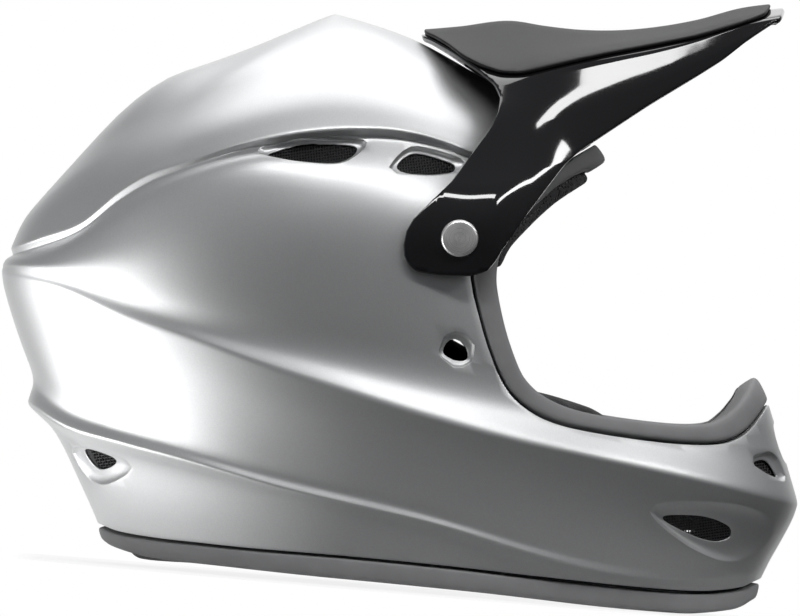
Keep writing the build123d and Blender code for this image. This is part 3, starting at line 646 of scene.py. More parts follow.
def turned_aluminium():
    """Turned aluminium: fine rings round the screw's axis, which fan out the light."""
    metal = Finish("turned_aluminium", (.80, .80, .79), .27, .7, Anisotropic=.75)
    rings = metal.place(scale=(0, 5200, 0), uv=True)
    groove = metal.noise(1, detail=2, place=rings)
    metal.rough(groove, .2, .34)
    metal.bump(groove, .000008)
    tangent = metal.node("Tangent", direction_type="UV_MAP", uv_map="turned")
    metal.join(tangent.outputs["Tangent"], metal.shader.inputs["Tangent"])
    return metal.material


def coated_wire():
    """Black coated steel wire."""
    wire = Finish("coated_wire", (.03, .03, .032), .42, Specular_IOR_Level=.6)
    wire.rough(wire.noise(700), .34, .5)
    wire.tint(wire.noise(400), .8, 1.25)
    return wire.material


def knit_fabric():
    """Brushed knit: rows of small loops with a soft nap."""
    knit = Finish("knit_fabric", (.022, .022, .024), .9, Sheen_Weight=.35, Sheen_Roughness=.5)
    loops = knit.cells(1150, place=knit.place(scale=(1, .6, 1)))
    knit.tint(loops, .7, 1.35)
    knit.bump(loops, .00022)
    knit.bump(knit.noise(140, detail=3), .0003, strength=.5)
    return knit.material


def air_mesh():
    """Spacer fabric: a thick knit with open holes in a honeycomb."""
    mesh = Finish("air_mesh", (.045, .045, .048), .85, Sheen_Weight=.25, Sheen_Roughness=.45)
    holes = mesh.cells(560)
    # Each hole is painted nearly black: painted shade in its depth, on top of its relief.
    painted_hole_shade = mesh.ramp(holes, 0, 1, .18, .42)
    mesh.tint(painted_hole_shade, .12, 1.25)
    mesh.bump(painted_hole_shade, .0006)
    return mesh.material


def strap_webbing():
    """Woven nylon webbing: a twill of slanting ribs."""
    webbing = Finish("strap_webbing", (.018, .018, .019), .6, Sheen_Weight=.15)
    twill = webbing.node("TexWave", {"Scale": 260.0, "Distortion": .4, "Detail": 1.0},
                         bands_direction="X")
    webbing.join(webbing.place(turn=(0, 0, math.radians(40))), twill.inputs["Vector"])
    webbing.tint(twill.outputs["Fac"], .6, 1.5)
    webbing.bump(twill.outputs["Fac"], .00025)
    return webbing.material


def moulded_nylon():
    """Black nylon with a low moulded sheen."""
    nylon = Finish("moulded_nylon", (.035, .035, .036), .46)
    nylon.rough(nylon.noise(300), .4, .55)
    nylon.bump(nylon.noise(1500), .00003)
    return nylon.material


def thread():
    """Bonded nylon thread, with its twist."""
    twist = Finish("thread", (.10, .10, .105), .5, Sheen_Weight=.2)
    twist.tint(twist.noise(1800, detail=1), .7, 1.3)
    twist.bump(twist.noise(2600, detail=1), .00005)
    return twist.material


finishes = {make.__name__: make() for make in (
    shell_paint, trim_rubber, visor_gloss, visor_matte, foam_beads, plated_steel,
    turned_aluminium, coated_wire, knit_fabric, air_mesh, strap_webbing, moulded_nylon, thread)}
print("finishes:", ", ".join(finishes))

# %% [markdown]
# The rigid inner pieces already have their real shape in the frame: foam liners, bushes, rings,
# rivets and studs. They keep their meshes and only take a finish.

# %% Finishes of the rigid inner pieces
kept_nodes = {
    "foam_beads": ["crown_liner", "chin_liner"],
    "moulded_nylon": ["crown_guide", "cheek_pad_studs"],
    "plated_steel": ["visor_bushes", "visor_guide_pin", "d_rings", "strap_anchors", "strap_stud"],
    "trim_rubber": ["visor_washers"],
}
for finish, names in kept_nodes.items():
    for name in names:
        nodes[name].data.materials.clear()
        nodes[name].data.materials.append(finishes[finish])
print("nodes that keep their mesh:", sum(len(names) for names in kept_nodes.values()))

# %% [markdown]
# The face opening and the bottom edge are side lines. The shell stops a little before each, the
# rubber trim starts a little after, and the dark gap between them is the seam.

# %% Side lines of the openings
face_line = [(650, 116), (627, 126), (604, 137), (575, 156), (545, 178), (515, 204), (490, 230),
             (474, 258), (472, 282), (479, 312), (486, 338), (494, 361), (504, 383), (519, 401),
             (545, 417), (580, 427), (640, 437), (690, 442), (722, 441), (742, 433), (756, 419),
             (770, 399), (790, 368)]
face_trim_line = [(650, 140), (627, 150), (606, 161), (583, 171), (560, 185), (535, 206), (514, 230),
                  (500, 254), (496, 280), (500, 306), (506, 332), (514, 356), (524, 378), (544, 396),
                  (580, 410), (640, 420), (688, 424), (716, 420), (734, 408), (746, 394), (758, 370)]
bottom_line = [(40, 505), (99, 526), (120, 533), (160, 539), (200, 543), (250, 548), (350, 556),
               (450, 566), (550, 578), (640, 588), (700, 592), (740, 589), (756, 583), (800, 566)]
trim_low_line = [(40, 508), (97, 536), (104, 542), (113, 547), (135, 554), (160, 559), (220, 565),
                 (300, 573.5), (400, 583), (500, 593.5), (600, 605.5), (680, 612.6), (700, 612.6),
                 (720, 611), (740, 608), (754, 600), (800, 585)]
far_front, far_low = 0.4, -0.2


def face_area(pixels):
    """Closed outline of all that lies in front of a C-shaped line."""
    line = smooth_points(side_line(pixels))
    return np.vstack([line, [[far_front, line[-1, 1]], [far_front, line[0, 1]]]])


def low_area(pixels):
    """Closed outline of all that lies under a line."""
    line = smooth_points(side_line(pixels))
    ends = [[far_front, line[-1, 1]], [far_front, far_low], [-far_front, far_low]]
    return np.vstack([line, ends, [[-far_front, line[0, 1]]]])


face_outline, face_trim_outline = face_area(face_line), face_area(face_trim_line)
low_outline, low_trim_outline = low_area(bottom_line), low_area(trim_low_line)
print("points of the opening lines:", len(face_outline), len(face_trim_outline),
      len(low_outline), len(low_trim_outline))


# %% [markdown]
# The shell sheet is the master surface with both openings cut away and a wall of 3 mm. Each vent
# is drawn into the sheet: its mouth is cut, and the rim is carried inward and down to the
# throat over a rounded lip, so the recess is one moulding with the shell.

# %% Helpers for vents and ports
seam = 0.45 * mm
rim_radius = 0.9 * mm
shell_wall = 3 * mm
# how far in towards the throat, and how far down, the rim has gone at each row of a recess
recess_rows = [(.05, .03), (.10, .12), (.17, .27), (.27, .46), (.40, .65), (.56, .82), (.74, .94),
               (1, 1)]
outside = 0.3


def surface_point(x, z, side_sign=1):
    """Place and outward normal of the shell's surface at a spot of the side view."""
    place, normal, _, _ = master_tree.ray_cast(Vector((x, side_sign * outside, z)),
                                               Vector((0, -side_sign, 0)))
    return (np.array(place), np.array(normal)) if place else (None, None)


def ring_of(middle, radius, count=48):
    """A round side outline."""
    angles = np.linspace(0, 2 * math.pi, count, endpoint=False)
    return np.stack([middle[0] + radius * np.cos(angles),
                     middle[1] + radius * np.sin(angles)], axis=1)


def vent_outline(pixels, count=96):
    """A round-cornered side outline walked in equal steps, from its rearmost spot."""
    outline = rounded_points(side_line(pixels))
    outline = np.roll(outline, -int(outline[:, 0].argmin()), axis=0)
    return walked(outline, count, closed=True)


def cut_side(sheet, outline, side_sign, room=0.0):
    """Cuts a side outline out of one side of a sheet."""
    points = positions(sheet)
    values = side_distance(outline, points) - room
    cut_sheet(sheet, np.where(points[:, 1] * side_sign > 0, values, 1.0))


def nearest_rim(sheet, outline, side_sign):
    """The open rim that lies on a side outline."""
    loops = rim_loops(sheet)
    off = []
    for loop in loops:
        points = np.array([vert.co[:] for vert in loop])
        wrong_side = 1.0 if points[:, 1].mean() * side_sign < 0 else 0.0
        off.append(np.abs(side_distance(outline, points)).mean() + wrong_side)
    return loops[int(np.argmin(off))]


def recessed(sheet, throat, mouth, depth, side_sign):
    """Cuts a mouth in the sheet and carries its rim in and down to the throat."""
    cut_side(sheet, mouth, side_sign)
    sunk = sheet.verts.layers.float.get("sunk") or sheet.verts.layers.float.new("sunk")
    rim = nearest_rim(sheet, mouth, side_sign)
    starts = np.array([(vert.co.x, vert.co.z) for vert in rim])
    ends = np.array([throat[((mouth - spot) ** 2).sum(axis=1).argmin()] for spot in starts])
    ends = evened(ends, 3)
    before = rim
    for inward, fall in recess_rows:
        row = []
        for start, end in zip(starts, ends):
            spot = start + (end - start) * inward
            place, normal = surface_point(*spot, side_sign)
            vert = sheet.verts.new(place - normal * depth * fall)
            vert[sunk] = depth * fall
            row.append(vert)
        for index in range(len(row)):
            after = (index + 1) % len(row)
            sheet.faces.new((before[after], before[index], row[index], row[after]))
        before = row
    sheet.normal_update()


# %% [markdown]
# Each vent of the sides has a throat and a wider mouth, and the ear port is a round one. The
# front vent is drawn in the front view, since it faces forward.

# %% Vents and ports
# throat, mouth, depth in millimetres
side_vents = {
    "crown_rear": ([(257, 153), (285, 145), (313, 141), (368, 143), (343, 163), (300, 159)],
                   [(248, 153), (283, 142), (315, 138), (377, 140), (345, 167), (298, 163)], 2.4),
    "crown_front": ([(390, 171), (399, 160), (414, 148), (463, 163), (457, 171), (430, 174)],
                    [(384, 173), (396, 158), (412, 144), (470, 161), (461, 174), (428, 178)], 2.4),
    "rear_low": ([(74, 447), (122, 462), (95, 476)],
                 [(61, 439), (148, 464), (97, 493)], 2.6),
    "chin_low": ([(655, 516), (680, 515), (704, 516), (722, 521), (736, 529), (736, 540), (720, 545),
                  (703, 541), (680, 531)],
                 [(642, 506), (662, 500), (700, 499), (738, 502), (764, 511), (773, 522), (771, 537),
                  (760, 550), (738, 562), (718, 561), (688, 547), (660, 526)], 3.1),
    "chin_high": ([(750, 461), (758, 458), (770, 456), (776, 467), (785, 479), (768, 471)],
                  [(745, 460), (755, 453), (773, 449), (781, 464), (789, 485), (768, 475)], 2.2),
}
throats = {name: vent_outline(throat) for name, (throat, _, _) in side_vents.items()}
ear_middle = side((457, 349))
front_vent = rounded_points([(y * mm, side(pixel)[1]) for y, pixel in (
    (-14, (781, 425)), (14, (781, 425)), (14, (789, 462)), (-14, (789, 462)))])
ear_throat, ear_mouth = (ring_of(ear_middle, radius * mm, 96) for radius in (6.8, 8.4))
ear_depth = 1.6 * mm
pivot_hole = 4.6 * mm
chin_from_x = 0.1
print("vents:", ", ".join(side_vents), "and the front one; ear port at", ear_middle)

# %% [markdown]
# Now the shell is cut and given its wall. A round boss behind each thumb screw carries the load
# of the visor, and is joined to the same piece.

# %% Shell sheet
shell = master.copy()
for side_sign in (1, -1):
    for name, (throat, mouth, depth) in side_vents.items():
        recessed(shell, throats[name], vent_outline(mouth), depth * mm, side_sign)
    recessed(shell, ear_throat, ear_mouth, ear_depth, side_sign)
    cut_side(shell, ring_of((pivot_x, pivot_z), pivot_hole), side_sign, rim_radius)
points = positions(shell)
in_front = side_distance(front_vent, points[:, [1, 0, 2]]) - rim_radius
cut_sheet(shell, np.where(points[:, 0] > chin_from_x, in_front, 1.0))
for outline in (face_outline, low_outline):
    cut_sheet(shell, side_distance(outline, positions(shell)) - seam - rim_radius)
shell_verts, shell_faces = thickened(shell, shell_wall, rim_radius)
print("shell sheet rims:", [len(loop) for loop in rim_loops(shell)])

# %% Bosses and the shell piece


def ring_band(profile, side_sign, segments=72):
    """Closed ring round the visor's axis, from pairs of radius and distance across."""
    verts = [(x, side_sign * across * mm, z) for radius, across in profile
             for x, z in ring_of((pivot_x, pivot_z), radius * mm, segments)]
    return verts, band_faces(len(profile), segments, closed=True)


# radius and distance across, in millimetres
boss_profile = [(4.6, 101.6), (10, 101.6), (10, 115.6), (9.8, 116.1), (9.3, 116.3), (4.6, 116.3)]
parts = [mesh_object("shell_draft", shell_verts, shell_faces)]
for side_sign in (1, -1):
    parts.append(mesh_object("boss", *ring_band(boss_profile, side_sign)))
    outward(parts[-1])
settled(joined(parts, "shell"), "helmet_shell", "shell_paint", "helmet", "outer_shell", 32)

# %% [markdown]
# Each rubber trim is a band between two side lines on the same surface. Its section stands a
# little proud of the shell, rounds over at the free edge and runs in behind it.

# %% Rubber trims


def rim_line(outline, level=0.0):
    """Points of the master surface on a side outline, in order."""
    sheet = master.copy()
    cut_sheet(sheet, side_distance(outline, positions(sheet)) - level)
    loops = [np.array([vert.co[:] for vert in loop]) for loop in rim_loops(sheet)]
    sheet.free()
    off = [np.abs(side_distance(outline, loop) - level).mean() for loop in loops]
    return loops[int(np.argmin(off))]


def surface_normal(point):
    return np.array(master_tree.find_nearest(Vector(point))[1])


def trim_band(name, inner_outline, outer_outline, section, node):
    """Closed band from the shell's edge line to the free edge, by a section of shares and rises."""
    start = walked(rim_line(inner_outline, -seam), step=2.2 * mm, closed=True)
    free = walked(rim_line(outer_outline), step=0.8 * mm, closed=True)
    pairs = np.array([free[((free - point) ** 2).sum(axis=1).argmin()] for point in start])
    pairs = evened(pairs, 6)
    normals = evened(np.array([surface_normal(point) for point in (start + pairs) / 2]), 4)
    normals /= np.linalg.norm(normals, axis=1)[:, None]
    verts = [point for share, rise in section
             for point in start + (pairs - start) * share + normals * rise * mm]
    draft = mesh_object("draft", verts, band_faces(len(section), len(start), closed=True))
    outward(draft)
    settled(draft, name, "trim_rubber", "helmet", node)


# share of the way to the free edge, and rise over the surface in millimetres
face_section = [(.03, -9), (.02, -5), (.02, -.9), (.03, -.1), (.07, .35), (.14, .62), (.3, .8),
                (.5, .86), (.7, .78), (.84, .5), (.94, 0), (.99, -.8), (1.01, -2), (1.0, -5),
                (.97, -8), (.85, -9.3), (.5, -9.6), (.15, -9.5)]
low_section = [(.03, -6.5), (.02, -3), (.02, -.9), (.03, -.1), (.07, .3), (.14, .55), (.3, .7),
               (.5, .72), (.7, .6), (.84, .3), (.93, -.2), (.98, -1.0), (1.0, -2), (1.0, -4.5),
               (.98, -6), (.85, -7), (.5, -7.2), (.15, -7.1)]
trim_band("face_rim", face_outline, face_trim_outline, face_section, "face_trim")
trim_band("bottom_rim", low_outline, low_trim_outline, low_section, "bottom_trim")

# %% [markdown]
# The visor is a folded hood: a flat-topped arch whose creases run forward. Its section is given
# at a few columns of the side view and flows between them, so one sheet makes the peak and both
# arms. The matte panel is the same sheet, lifted and cut to its own outline.

# %% Visor sections
# column, row of the top, then share of the half width and row of crease, bend, side and edge
visor_stations = [
    (395, 32, (.42, 56), (.76, 120), (.87, 165), (1, 205), (1, 290)),
    (427, 31, (.45, 52), (.76, 119), (.87, 165), (1, 205), (1, 290)),
    (460, 26, (.50, 62), (.755, 120), (.87, 165), (1, 205), (1, 290)),
    (513, 17, (.575, 75), (.755, 118), (.87, 165), (1, 205), (1, 290)),
    (545, 24, (.60, 68), (.71, 112), (.79, 155), (.88, 195), (.93, 290)),
    (580, 30, (.575, 60), (.66, 104), (.71, 145), (.75, 178), (.81, 290)),
    (620, 32, (.535, 53), (.60, 92), (.63, 122), (.655, 150), (.71, 290)),
    (660, 29, (.485, 46), (.535, 78), (.555, 100), (.575, 130), (.62, 290)),
    (700, 22, (.425, 37), (.46, 60), (.475, 78), (.49, 105), (.53, 290)),
    (740, 11, (.36, 25), (.38, 40), (.39, 52), (.40, 75), (.44, 290)),
    (795, 5, (.265, 14), (.28, 25), (.29, 36), (.30, 60), (.34, 290)),
]
visor_outline_pixels = [(513, 4), (420, 16), (420, 36), (432, 41), (448, 50), (463, 60), (480, 72),
                        (493, 84), (499, 97), (497, 112), (490, 128), (470, 155), (450, 182),
                        (430, 202), (412, 220), (403, 238), (404, 260), (415, 272), (440, 276),
                        (470, 277), (487, 272), (496, 262), (503, 250), (512, 238), (520, 225),
                        (535, 205), (550, 185), (565, 165), (580, 151), (600, 138), (650, 105),
                        (700, 75), (724, 60), (745, 43), (762, 31), (779, 20), (785, 9), (775, -4)]
panel_outline_pixels = [(513, 2), (424, 16), (424, 32), (435, 37), (448, 45), (463, 57), (480, 66),
                        (500, 73), (522, 74), (560, 65), (600, 55.5), (650, 46), (700, 36), (740, 24),
                        (764, 14.5), (770, 6), (772, -4)]
visor_softness = [.3, .22, .3, .4, .5, .5]
visor_half = 120 * mm
visor_wall = 2.6 * mm
print("visor sections:", len(visor_stations))

# %% [markdown]
# The sections flow into each other along smooth lines, and their corners are rounded by the
# same rule as the rings of the shell.

# %% Visor surface


def visor_rows(stations=150):
    """Corner lines of the visor from one side over the top to the other."""
    columns = [row[0] for row in visor_stations]
    at = np.linspace(columns[0], columns[-1], stations)
    x = side_line([(u, crown_pixel[1]) for u in at])[:, 0]
    lines = []
    top = through(columns, [row[1] for row in visor_stations], at)
    lines.append((0 * at, side_line(list(zip(at, top)))[:, 1]))
    for corner in range(2, 7):
        share = through(columns, [row[corner][0] for row in visor_stations], at)
        row = through(columns, [row[corner][1] for row in visor_stations], at)
        lines.append((share * visor_half, side_line(list(zip(at, row)))[:, 1]))
    half = [np.stack([x, y, z], axis=-1) for y, z in lines]
    return [line * (1, -1, 1) for line in reversed(half[1:])] + half


corner_rows = visor_rows()
soft_corners = visor_softness[:0:-1] + visor_softness
visor_grid = softened(corner_rows, soft_corners, straight=8, corner=6)
visor_master = grid_sheet(visor_grid, closed=False)
if sum(face.normal.z for face in visor_master.faces) < 0:
    bmesh.ops.reverse_faces(visor_master, faces=visor_master.faces)
print("visor surface:", len(visor_master.faces), "faces")

# %% [markdown]
# The peak and the panel are cut from that one surface. Two lugs under the peak hold the guide
# pin, and a shallow groove clears the guide fin on the crown as the visor tilts.

# %% Helpers for the visor
edge_radius = 0.9 * mm
screw_hole = 2.6 * mm


def visor_cut(pixels, lift, radius):
    """A sheet cut from the visor's surface by a side outline, lifted off it."""
    sheet = visor_master.copy()
    for vert, normal in [(vert, vert.normal.copy()) for vert in sheet.verts]:
        vert.co += normal * lift
    sheet.normal_update()
    outline = rounded_points(side_line(pixels), rounds=3, share=.12)
    cut_sheet(sheet, -side_distance(outline, positions(sheet)) - radius)
    return sheet


def closed_tube(rows):
    """Verts and faces of a tube through rows, closed with a flat lid at both ends."""
    count = len(rows[0])
    verts = [point for row in rows for point in row]
    faces = band_faces(len(rows), count)
    faces.append(list(range(count - 1, -1, -1)))
    faces.append(list(range(len(verts) - count, len(verts))))
    return verts, faces


def prism(outline, low_y, high_y):
    """Closed block across the helmet."""
    rows = [[(x, low_y, z) for x, z in outline], [(x, high_y, z) for x, z in outline]]
    block = mesh_object("prism", *closed_tube(rows))
    outward(block)
    return block


# %% Visor pieces
peak_sheet = visor_cut(visor_outline_pixels, 0, edge_radius)
for side_sign in (1, -1):
    cut_side(peak_sheet, ring_of((pivot_x, pivot_z), screw_hole), side_sign, edge_radius)

# The groove is a thinner wall, so it only shows from below.
groove_middle_x, groove_half_length = pivot_x + 5 * mm, 34 * mm
groove_half_width, groove_ramp, groove_depth = 12 * mm, 6 * mm, 1.7 * mm
groove = peak_sheet.verts.layers.float.new("sunk")
for vert in peak_sheet.verts:
    across = (groove_half_width - abs(vert.co.y)) / groove_ramp
    along = (groove_half_length - abs(vert.co.x - groove_middle_x)) / groove_ramp
    vert[groove] = groove_depth * min(max(min(across, along), 0), 1)
peak_parts = [mesh_object("peak", *thickened(peak_sheet, visor_wall, edge_radius))]
lug_pixels = [(461, 31), (480, 29), (481, 52), (470, 56), (460, 52)]
lug_line = rounded_points(side_line(lug_pixels), rounds=2)
lug_low, lug_high = 2.9 * mm, 5.9 * mm
for sign in (1, -1):
    peak_parts.append(prism(lug_line, *sorted((sign * lug_low, sign * lug_high))))
settled(joined(peak_parts, "peak"), "visor_peak_moulding", "visor_gloss", "visor", "visor_peak", 30)
panel_lift, panel_wall, panel_radius = 2.2 * mm, 1.7 * mm, .8 * mm
panel_sheet = visor_cut(panel_outline_pixels, panel_lift, panel_radius)
panel_draft = mesh_object("panel", *thickened(panel_sheet, panel_wall, panel_radius))
settled(panel_draft, "visor_panel_moulding", "visor_matte", "visor", "visor_top_panel", 30)

# %% [markdown]
# The thumb screws are turned on a lathe: a nearly flat face with a rolled rim, and a shank that
# runs through the visor's arm. The turning leaves fine rings, so the piece carries its own map,
# round and outward, that the brushed finish follows.

# %% Thumb screws
screw_seat_y = 120 * mm
# radius and height over the seat, in millimetres
knob_profile = [(0, 3.95), (2.0, 3.92), (4.4, 3.82), (6.6, 3.62), (7.5, 3.4), (8.0, 3.0),
                (8.3, 2.4), (8.32, 1.2), (8.2, .5), (7.9, .12), (2.5, .12), (2.5, -10.2),
                (2.2, -10.6), (0, -10.6)]


def turned_piece(name, profile, side_sign, segments=96):
    """Lathe piece on the visor's axis, with a map that runs round and outward."""
    verts, spots = [], []
    for radius, rise in profile:
        for index in range(segments):
            angle = 2 * math.pi * index / segments
            verts.append((pivot_x + radius * mm * math.cos(angle),
                          side_sign * (screw_seat_y + rise * mm),
                          pivot_z + radius * mm * math.sin(angle)))
            spots.append((index / segments, radius * mm))
    mesh = bpy.data.meshes.new(name)
    mesh.from_pydata(verts, [], band_faces(len(profile), segments))
    turned = mesh.uv_layers.new(name="turned")
    for polygon in mesh.polygons:
        rounds = [spots[mesh.loops[loop].vertex_index][0] for loop in polygon.loop_indices]
        for loop, share in zip(polygon.loop_indices, rounds):
            wrapped = share + 1 if max(rounds) - share > 0.5 else share
            turned.data[loop].uv = (wrapped, spots[mesh.loops[loop].vertex_index][1])
    draft = bmesh.new()
    draft.from_mesh(mesh)
    bmesh.ops.remove_doubles(draft, verts=draft.verts, dist=1e-6)
    bmesh.ops.recalc_face_normals(draft, faces=draft.faces)
    draft.to_mesh(mesh)
    draft.free()
    mesh.shade_smooth()
    mesh.set_sharp_from_angle(angle=math.radians(38))
    mesh.materials.append(finishes["turned_aluminium"])
    return linked(name, mesh)


for side_sign, word in ((1, "left"), (-1, "right")):
    knob = turned_piece("thumb_screw_" + word, knob_profile, side_sign)
    finish_piece(knob, "screw_" + word, "visor_screw_" + word)


# %% [markdown]
# Woven wire closes every vent. The wires are two families of lines that wave over and under
# each other a little below the shell, and one Geometry Nodes tree gives them their thickness.
# A second tree sews: it sets a stitch at every step along a seam.

# %% Trees for wires and stitches


class Tree:
    """A Geometry Nodes tree that makes a mesh from lines, built a node at a time."""

    def __init__(self, name, **sizes):
        self.group = bpy.data.node_groups.new(name, "GeometryNodeTree")
        face = self.group.interface
        face.new_socket("Lines", in_out="INPUT", socket_type="NodeSocketGeometry")
        face.new_socket("Mesh", in_out="OUTPUT", socket_type="NodeSocketGeometry")
        for label, value in sizes.items():
            kind = "NodeSocketInt" if isinstance(value, int) else "NodeSocketFloat"
            face.new_socket(label, in_out="INPUT", socket_type=kind).default_value = value
        face.new_socket("Material", in_out="INPUT", socket_type="NodeSocketMaterial")
        self.given = self.add("NodeGroupInput").outputs

    def add(self, kind, links=None, **settings):
        return add_node(self.group, kind, links, **settings)

    def close(self, geometry):
        whole = self.add("GeometryNodeRealizeInstances", {"Geometry": geometry})
        dressed = self.add("GeometryNodeSetMaterial",
                           {"Geometry": whole.outputs[0], "Material": self.given["Material"]})
        self.add("NodeGroupOutput", {"Mesh": dressed.outputs[0]})


wires = Tree("wires", Radius=.00022, Sides=5)
strand = wires.add("GeometryNodeMeshToCurve", {"Mesh": wires.given["Lines"]})
ring = wires.add("GeometryNodeCurvePrimitiveCircle",
                 {"Resolution": wires.given["Sides"], "Radius": wires.given["Radius"]})
wires.close(wires.add("GeometryNodeCurveToMesh", {
    "Curve": strand.outputs[0], "Profile Curve": ring.outputs[0], "Fill Caps": True}).outputs[0])

stitches = Tree("stitches", Pitch=.0036, Length=.0026, Thickness=.0007)
seam_line = stitches.add("GeometryNodeMeshToCurve", {"Mesh": stitches.given["Lines"]})
stepped = stitches.add("GeometryNodeResampleCurve", {
    "Curve": seam_line.outputs[0], "Length": stitches.given["Pitch"]}, mode="LENGTH")
bead = stitches.add("GeometryNodeMeshUVSphere", {"Segments": 6, "Rings": 5, "Radius": .5})
stretch = stitches.add("ShaderNodeCombineXYZ", {"X": stitches.given["Thickness"],
                                                "Y": stitches.given["Thickness"],
                                                "Z": stitches.given["Length"]})
along = stitches.add("GeometryNodeInputTangent")
turned = stitches.add("FunctionNodeAlignRotationToVector", {"Vector": along.outputs[0]}, axis="Z")
stitches.close(stitches.add("GeometryNodeInstanceOnPoints", {
    "Points": stepped.outputs[0], "Instance": bead.outputs["Mesh"],
    "Rotation": turned.outputs[0], "Scale": stretch.outputs[0]}).outputs[0])


print("trees:", wires.group.name, "and", stitches.group.name)


def grown(name, lines, tree, finish):
    """Loose object that a tree makes from lines of points."""
    verts, edges = [], []
    for line in lines:
        first = len(verts)
        verts += list(line)
        edges += [(index, index + 1) for index in range(first, len(verts) - 1)]
    obj = mesh_object(name, verts, [], edges)
    modifier = obj.modifiers.new("tree", "NODES")
    modifier.node_group = tree.group
    for item in tree.group.interface.items_tree:
        if item.in_out == "INPUT" and item.name == "Material":
            modifier[item.identifier] = finishes[finish]
    applied(obj)
    outward(obj)
    obj.data.shade_smooth()
    return obj


# %% Wire mesh behind the vents
wire_pitch = 1.25 * mm
wire_level = 3.75 * mm
wave = 0.2 * mm


def woven(outline, place_at, turn):
    """Lines of a plain weave that fills an outline, as place_at puts them in space."""
    margin = 1.6 * mm
    middle = outline.mean(axis=0)
    reach = np.linalg.norm(outline - middle, axis=1).max() + margin
    count = int(reach / wire_pitch) + 1
    fine = wire_pitch / 2
    axes = [np.array([math.cos(turn), math.sin(turn)]), np.array([-math.sin(turn), math.cos(turn)])]
    lines = []
    for family in (0, 1):
        run, step = axes[family], axes[1 - family]
        for number in range(-count, count + 1):
            at = np.arange(-2 * count, 2 * count + 1)
            spots = middle + step * number * wire_pitch + run * (at * fine)[:, None]
            flat = np.stack([spots[:, 0], 0 * at, spots[:, 1]], axis=1)
            inside = side_distance(outline, flat) < margin
            line = []
            for index, spot in enumerate(spots):
                lift = wave * math.cos(math.pi * at[index] / 2 + math.pi * (number + family))
                point = place_at(spot, lift) if inside[index] else None
                if point is not None:
                    line.append(point)
                if (point is None or index == len(spots) - 1) and line:
                    if len(line) > 2:
                        lines.append(line)
                    line = []
    return lines


def under_shell(side_sign):
    """A rule that puts a spot of the side view behind the shell of one side."""
    def place_at(spot, lift):
        place, normal = surface_point(*spot, side_sign)
        return None if place is None else place - normal * (wire_level + lift)
    return place_at


def under_front(spot, lift):
    """A spot of the front view, behind the shell's nose."""
    place, normal, _, _ = master_tree.ray_cast(Vector((outside, spot[0], spot[1])),
                                               Vector((-1, 0, 0)))
    return None if place is None else np.array(place) - np.array(normal) * (wire_level + lift)


mesh_vents = {"crown_meshes": ["crown_rear", "crown_front"], "rear_meshes": ["rear_low"],
              "chin_meshes": ["chin_low"], "chin_corner_meshes": ["chin_high"]}
for node, vents in mesh_vents.items():
    lines = [line for side_sign in (1, -1) for vent in vents
             for line in woven(throats[vent], under_shell(side_sign), math.radians(12))]
    netting = grown(node.replace("meshes", "netting"), lines, wires, "coated_wire")
    finish_piece(netting, "helmet", node)
netting = grown("front_netting", woven(front_vent, under_front, 0), wires, "coated_wire")
finish_piece(netting, "helmet", "front_mesh")

# %% [markdown]
# The padding is grown in cloth. Each pad starts from its own solid, a little smaller, is
# remeshed and blown up under light pressure, and is held inside its solid's space. The seams
# are drawn in and sewn afterwards.

# %% Puffing a pad
cover_gap = 0.15 * mm


def puffed(node, voxel, shrink, frames=20):
    """Loose object: a node's solid as a stuffed cover that has been blown up from inside."""
    solid = bmesh.new()
    solid.from_mesh(nodes[node].data)
    bmesh.ops.remove_doubles(solid, verts=solid.verts, dist=1e-5)
    room = BVHTree.FromBMesh(solid)
    mesh = bpy.data.meshes.new(node + "_pad")
    solid.to_mesh(mesh)
    solid.free()
    obj = linked(node + "_pad", mesh)
    remesh = obj.modifiers.new("remesh", "REMESH")
    remesh.mode, remesh.voxel_size = "VOXEL", voxel * mm
    applied(obj)
    for vert, normal in [(vert, vert.normal.copy()) for vert in obj.data.vertices]:
        vert.co -= normal * shrink * mm
    cloth = obj.modifiers.new("cloth", "CLOTH")
    cloth.settings.quality = 4
    cloth.settings.mass = 0.3
    cloth.settings.use_pressure = True
    cloth.settings.uniform_pressure_force = 4
    cloth.settings.effector_weights.gravity = 0
    for frame_number in range(1, frames + 1):
        bpy.context.scene.frame_set(frame_number)
    applied(obj)
    bpy.context.scene.frame_set(1)
    smooth = obj.modifiers.new("smooth", "SUBSURF")
    smooth.levels = smooth.render_levels = 1
    applied(obj)
    for vert in obj.data.vertices:
        place, normal, _, _ = room.find_nearest(vert.co)
        if (vert.co - place).dot(normal) > -cover_gap:
            vert.co = place - normal * cover_gap
    obj.data.materials.clear()
    return obj


# %% Seams of a pad


def tree_of(obj):
    """A search tree of an object's faces."""
    return BVHTree.FromPolygons([v.co[:] for v in obj.data.vertices],
                                [list(p.vertices) for p in obj.data.polygons])


def laid_on(tree, points, lift):
    """A line laid on a pad, at a height over its cover."""
    line = []
    for point in points:
        place, normal, _, _ = tree.find_nearest(Vector(point))
        line.append(np.array(place) + np.array(normal) * lift * mm)
    return np.array(line)


def pinched(obj, lines, depth, width):
    """Draws a pad's cover in along its seams."""
    seams = np.vstack(lines)
    for vert, normal in [(vert, vert.normal.copy()) for vert in obj.data.vertices]:
        gap = np.sqrt(((seams - np.array(vert.co)) ** 2).sum(axis=1).min())
        if gap < 3 * width * mm:
            vert.co -= normal * depth * mm * math.exp(-(gap / (width * mm)) ** 2)


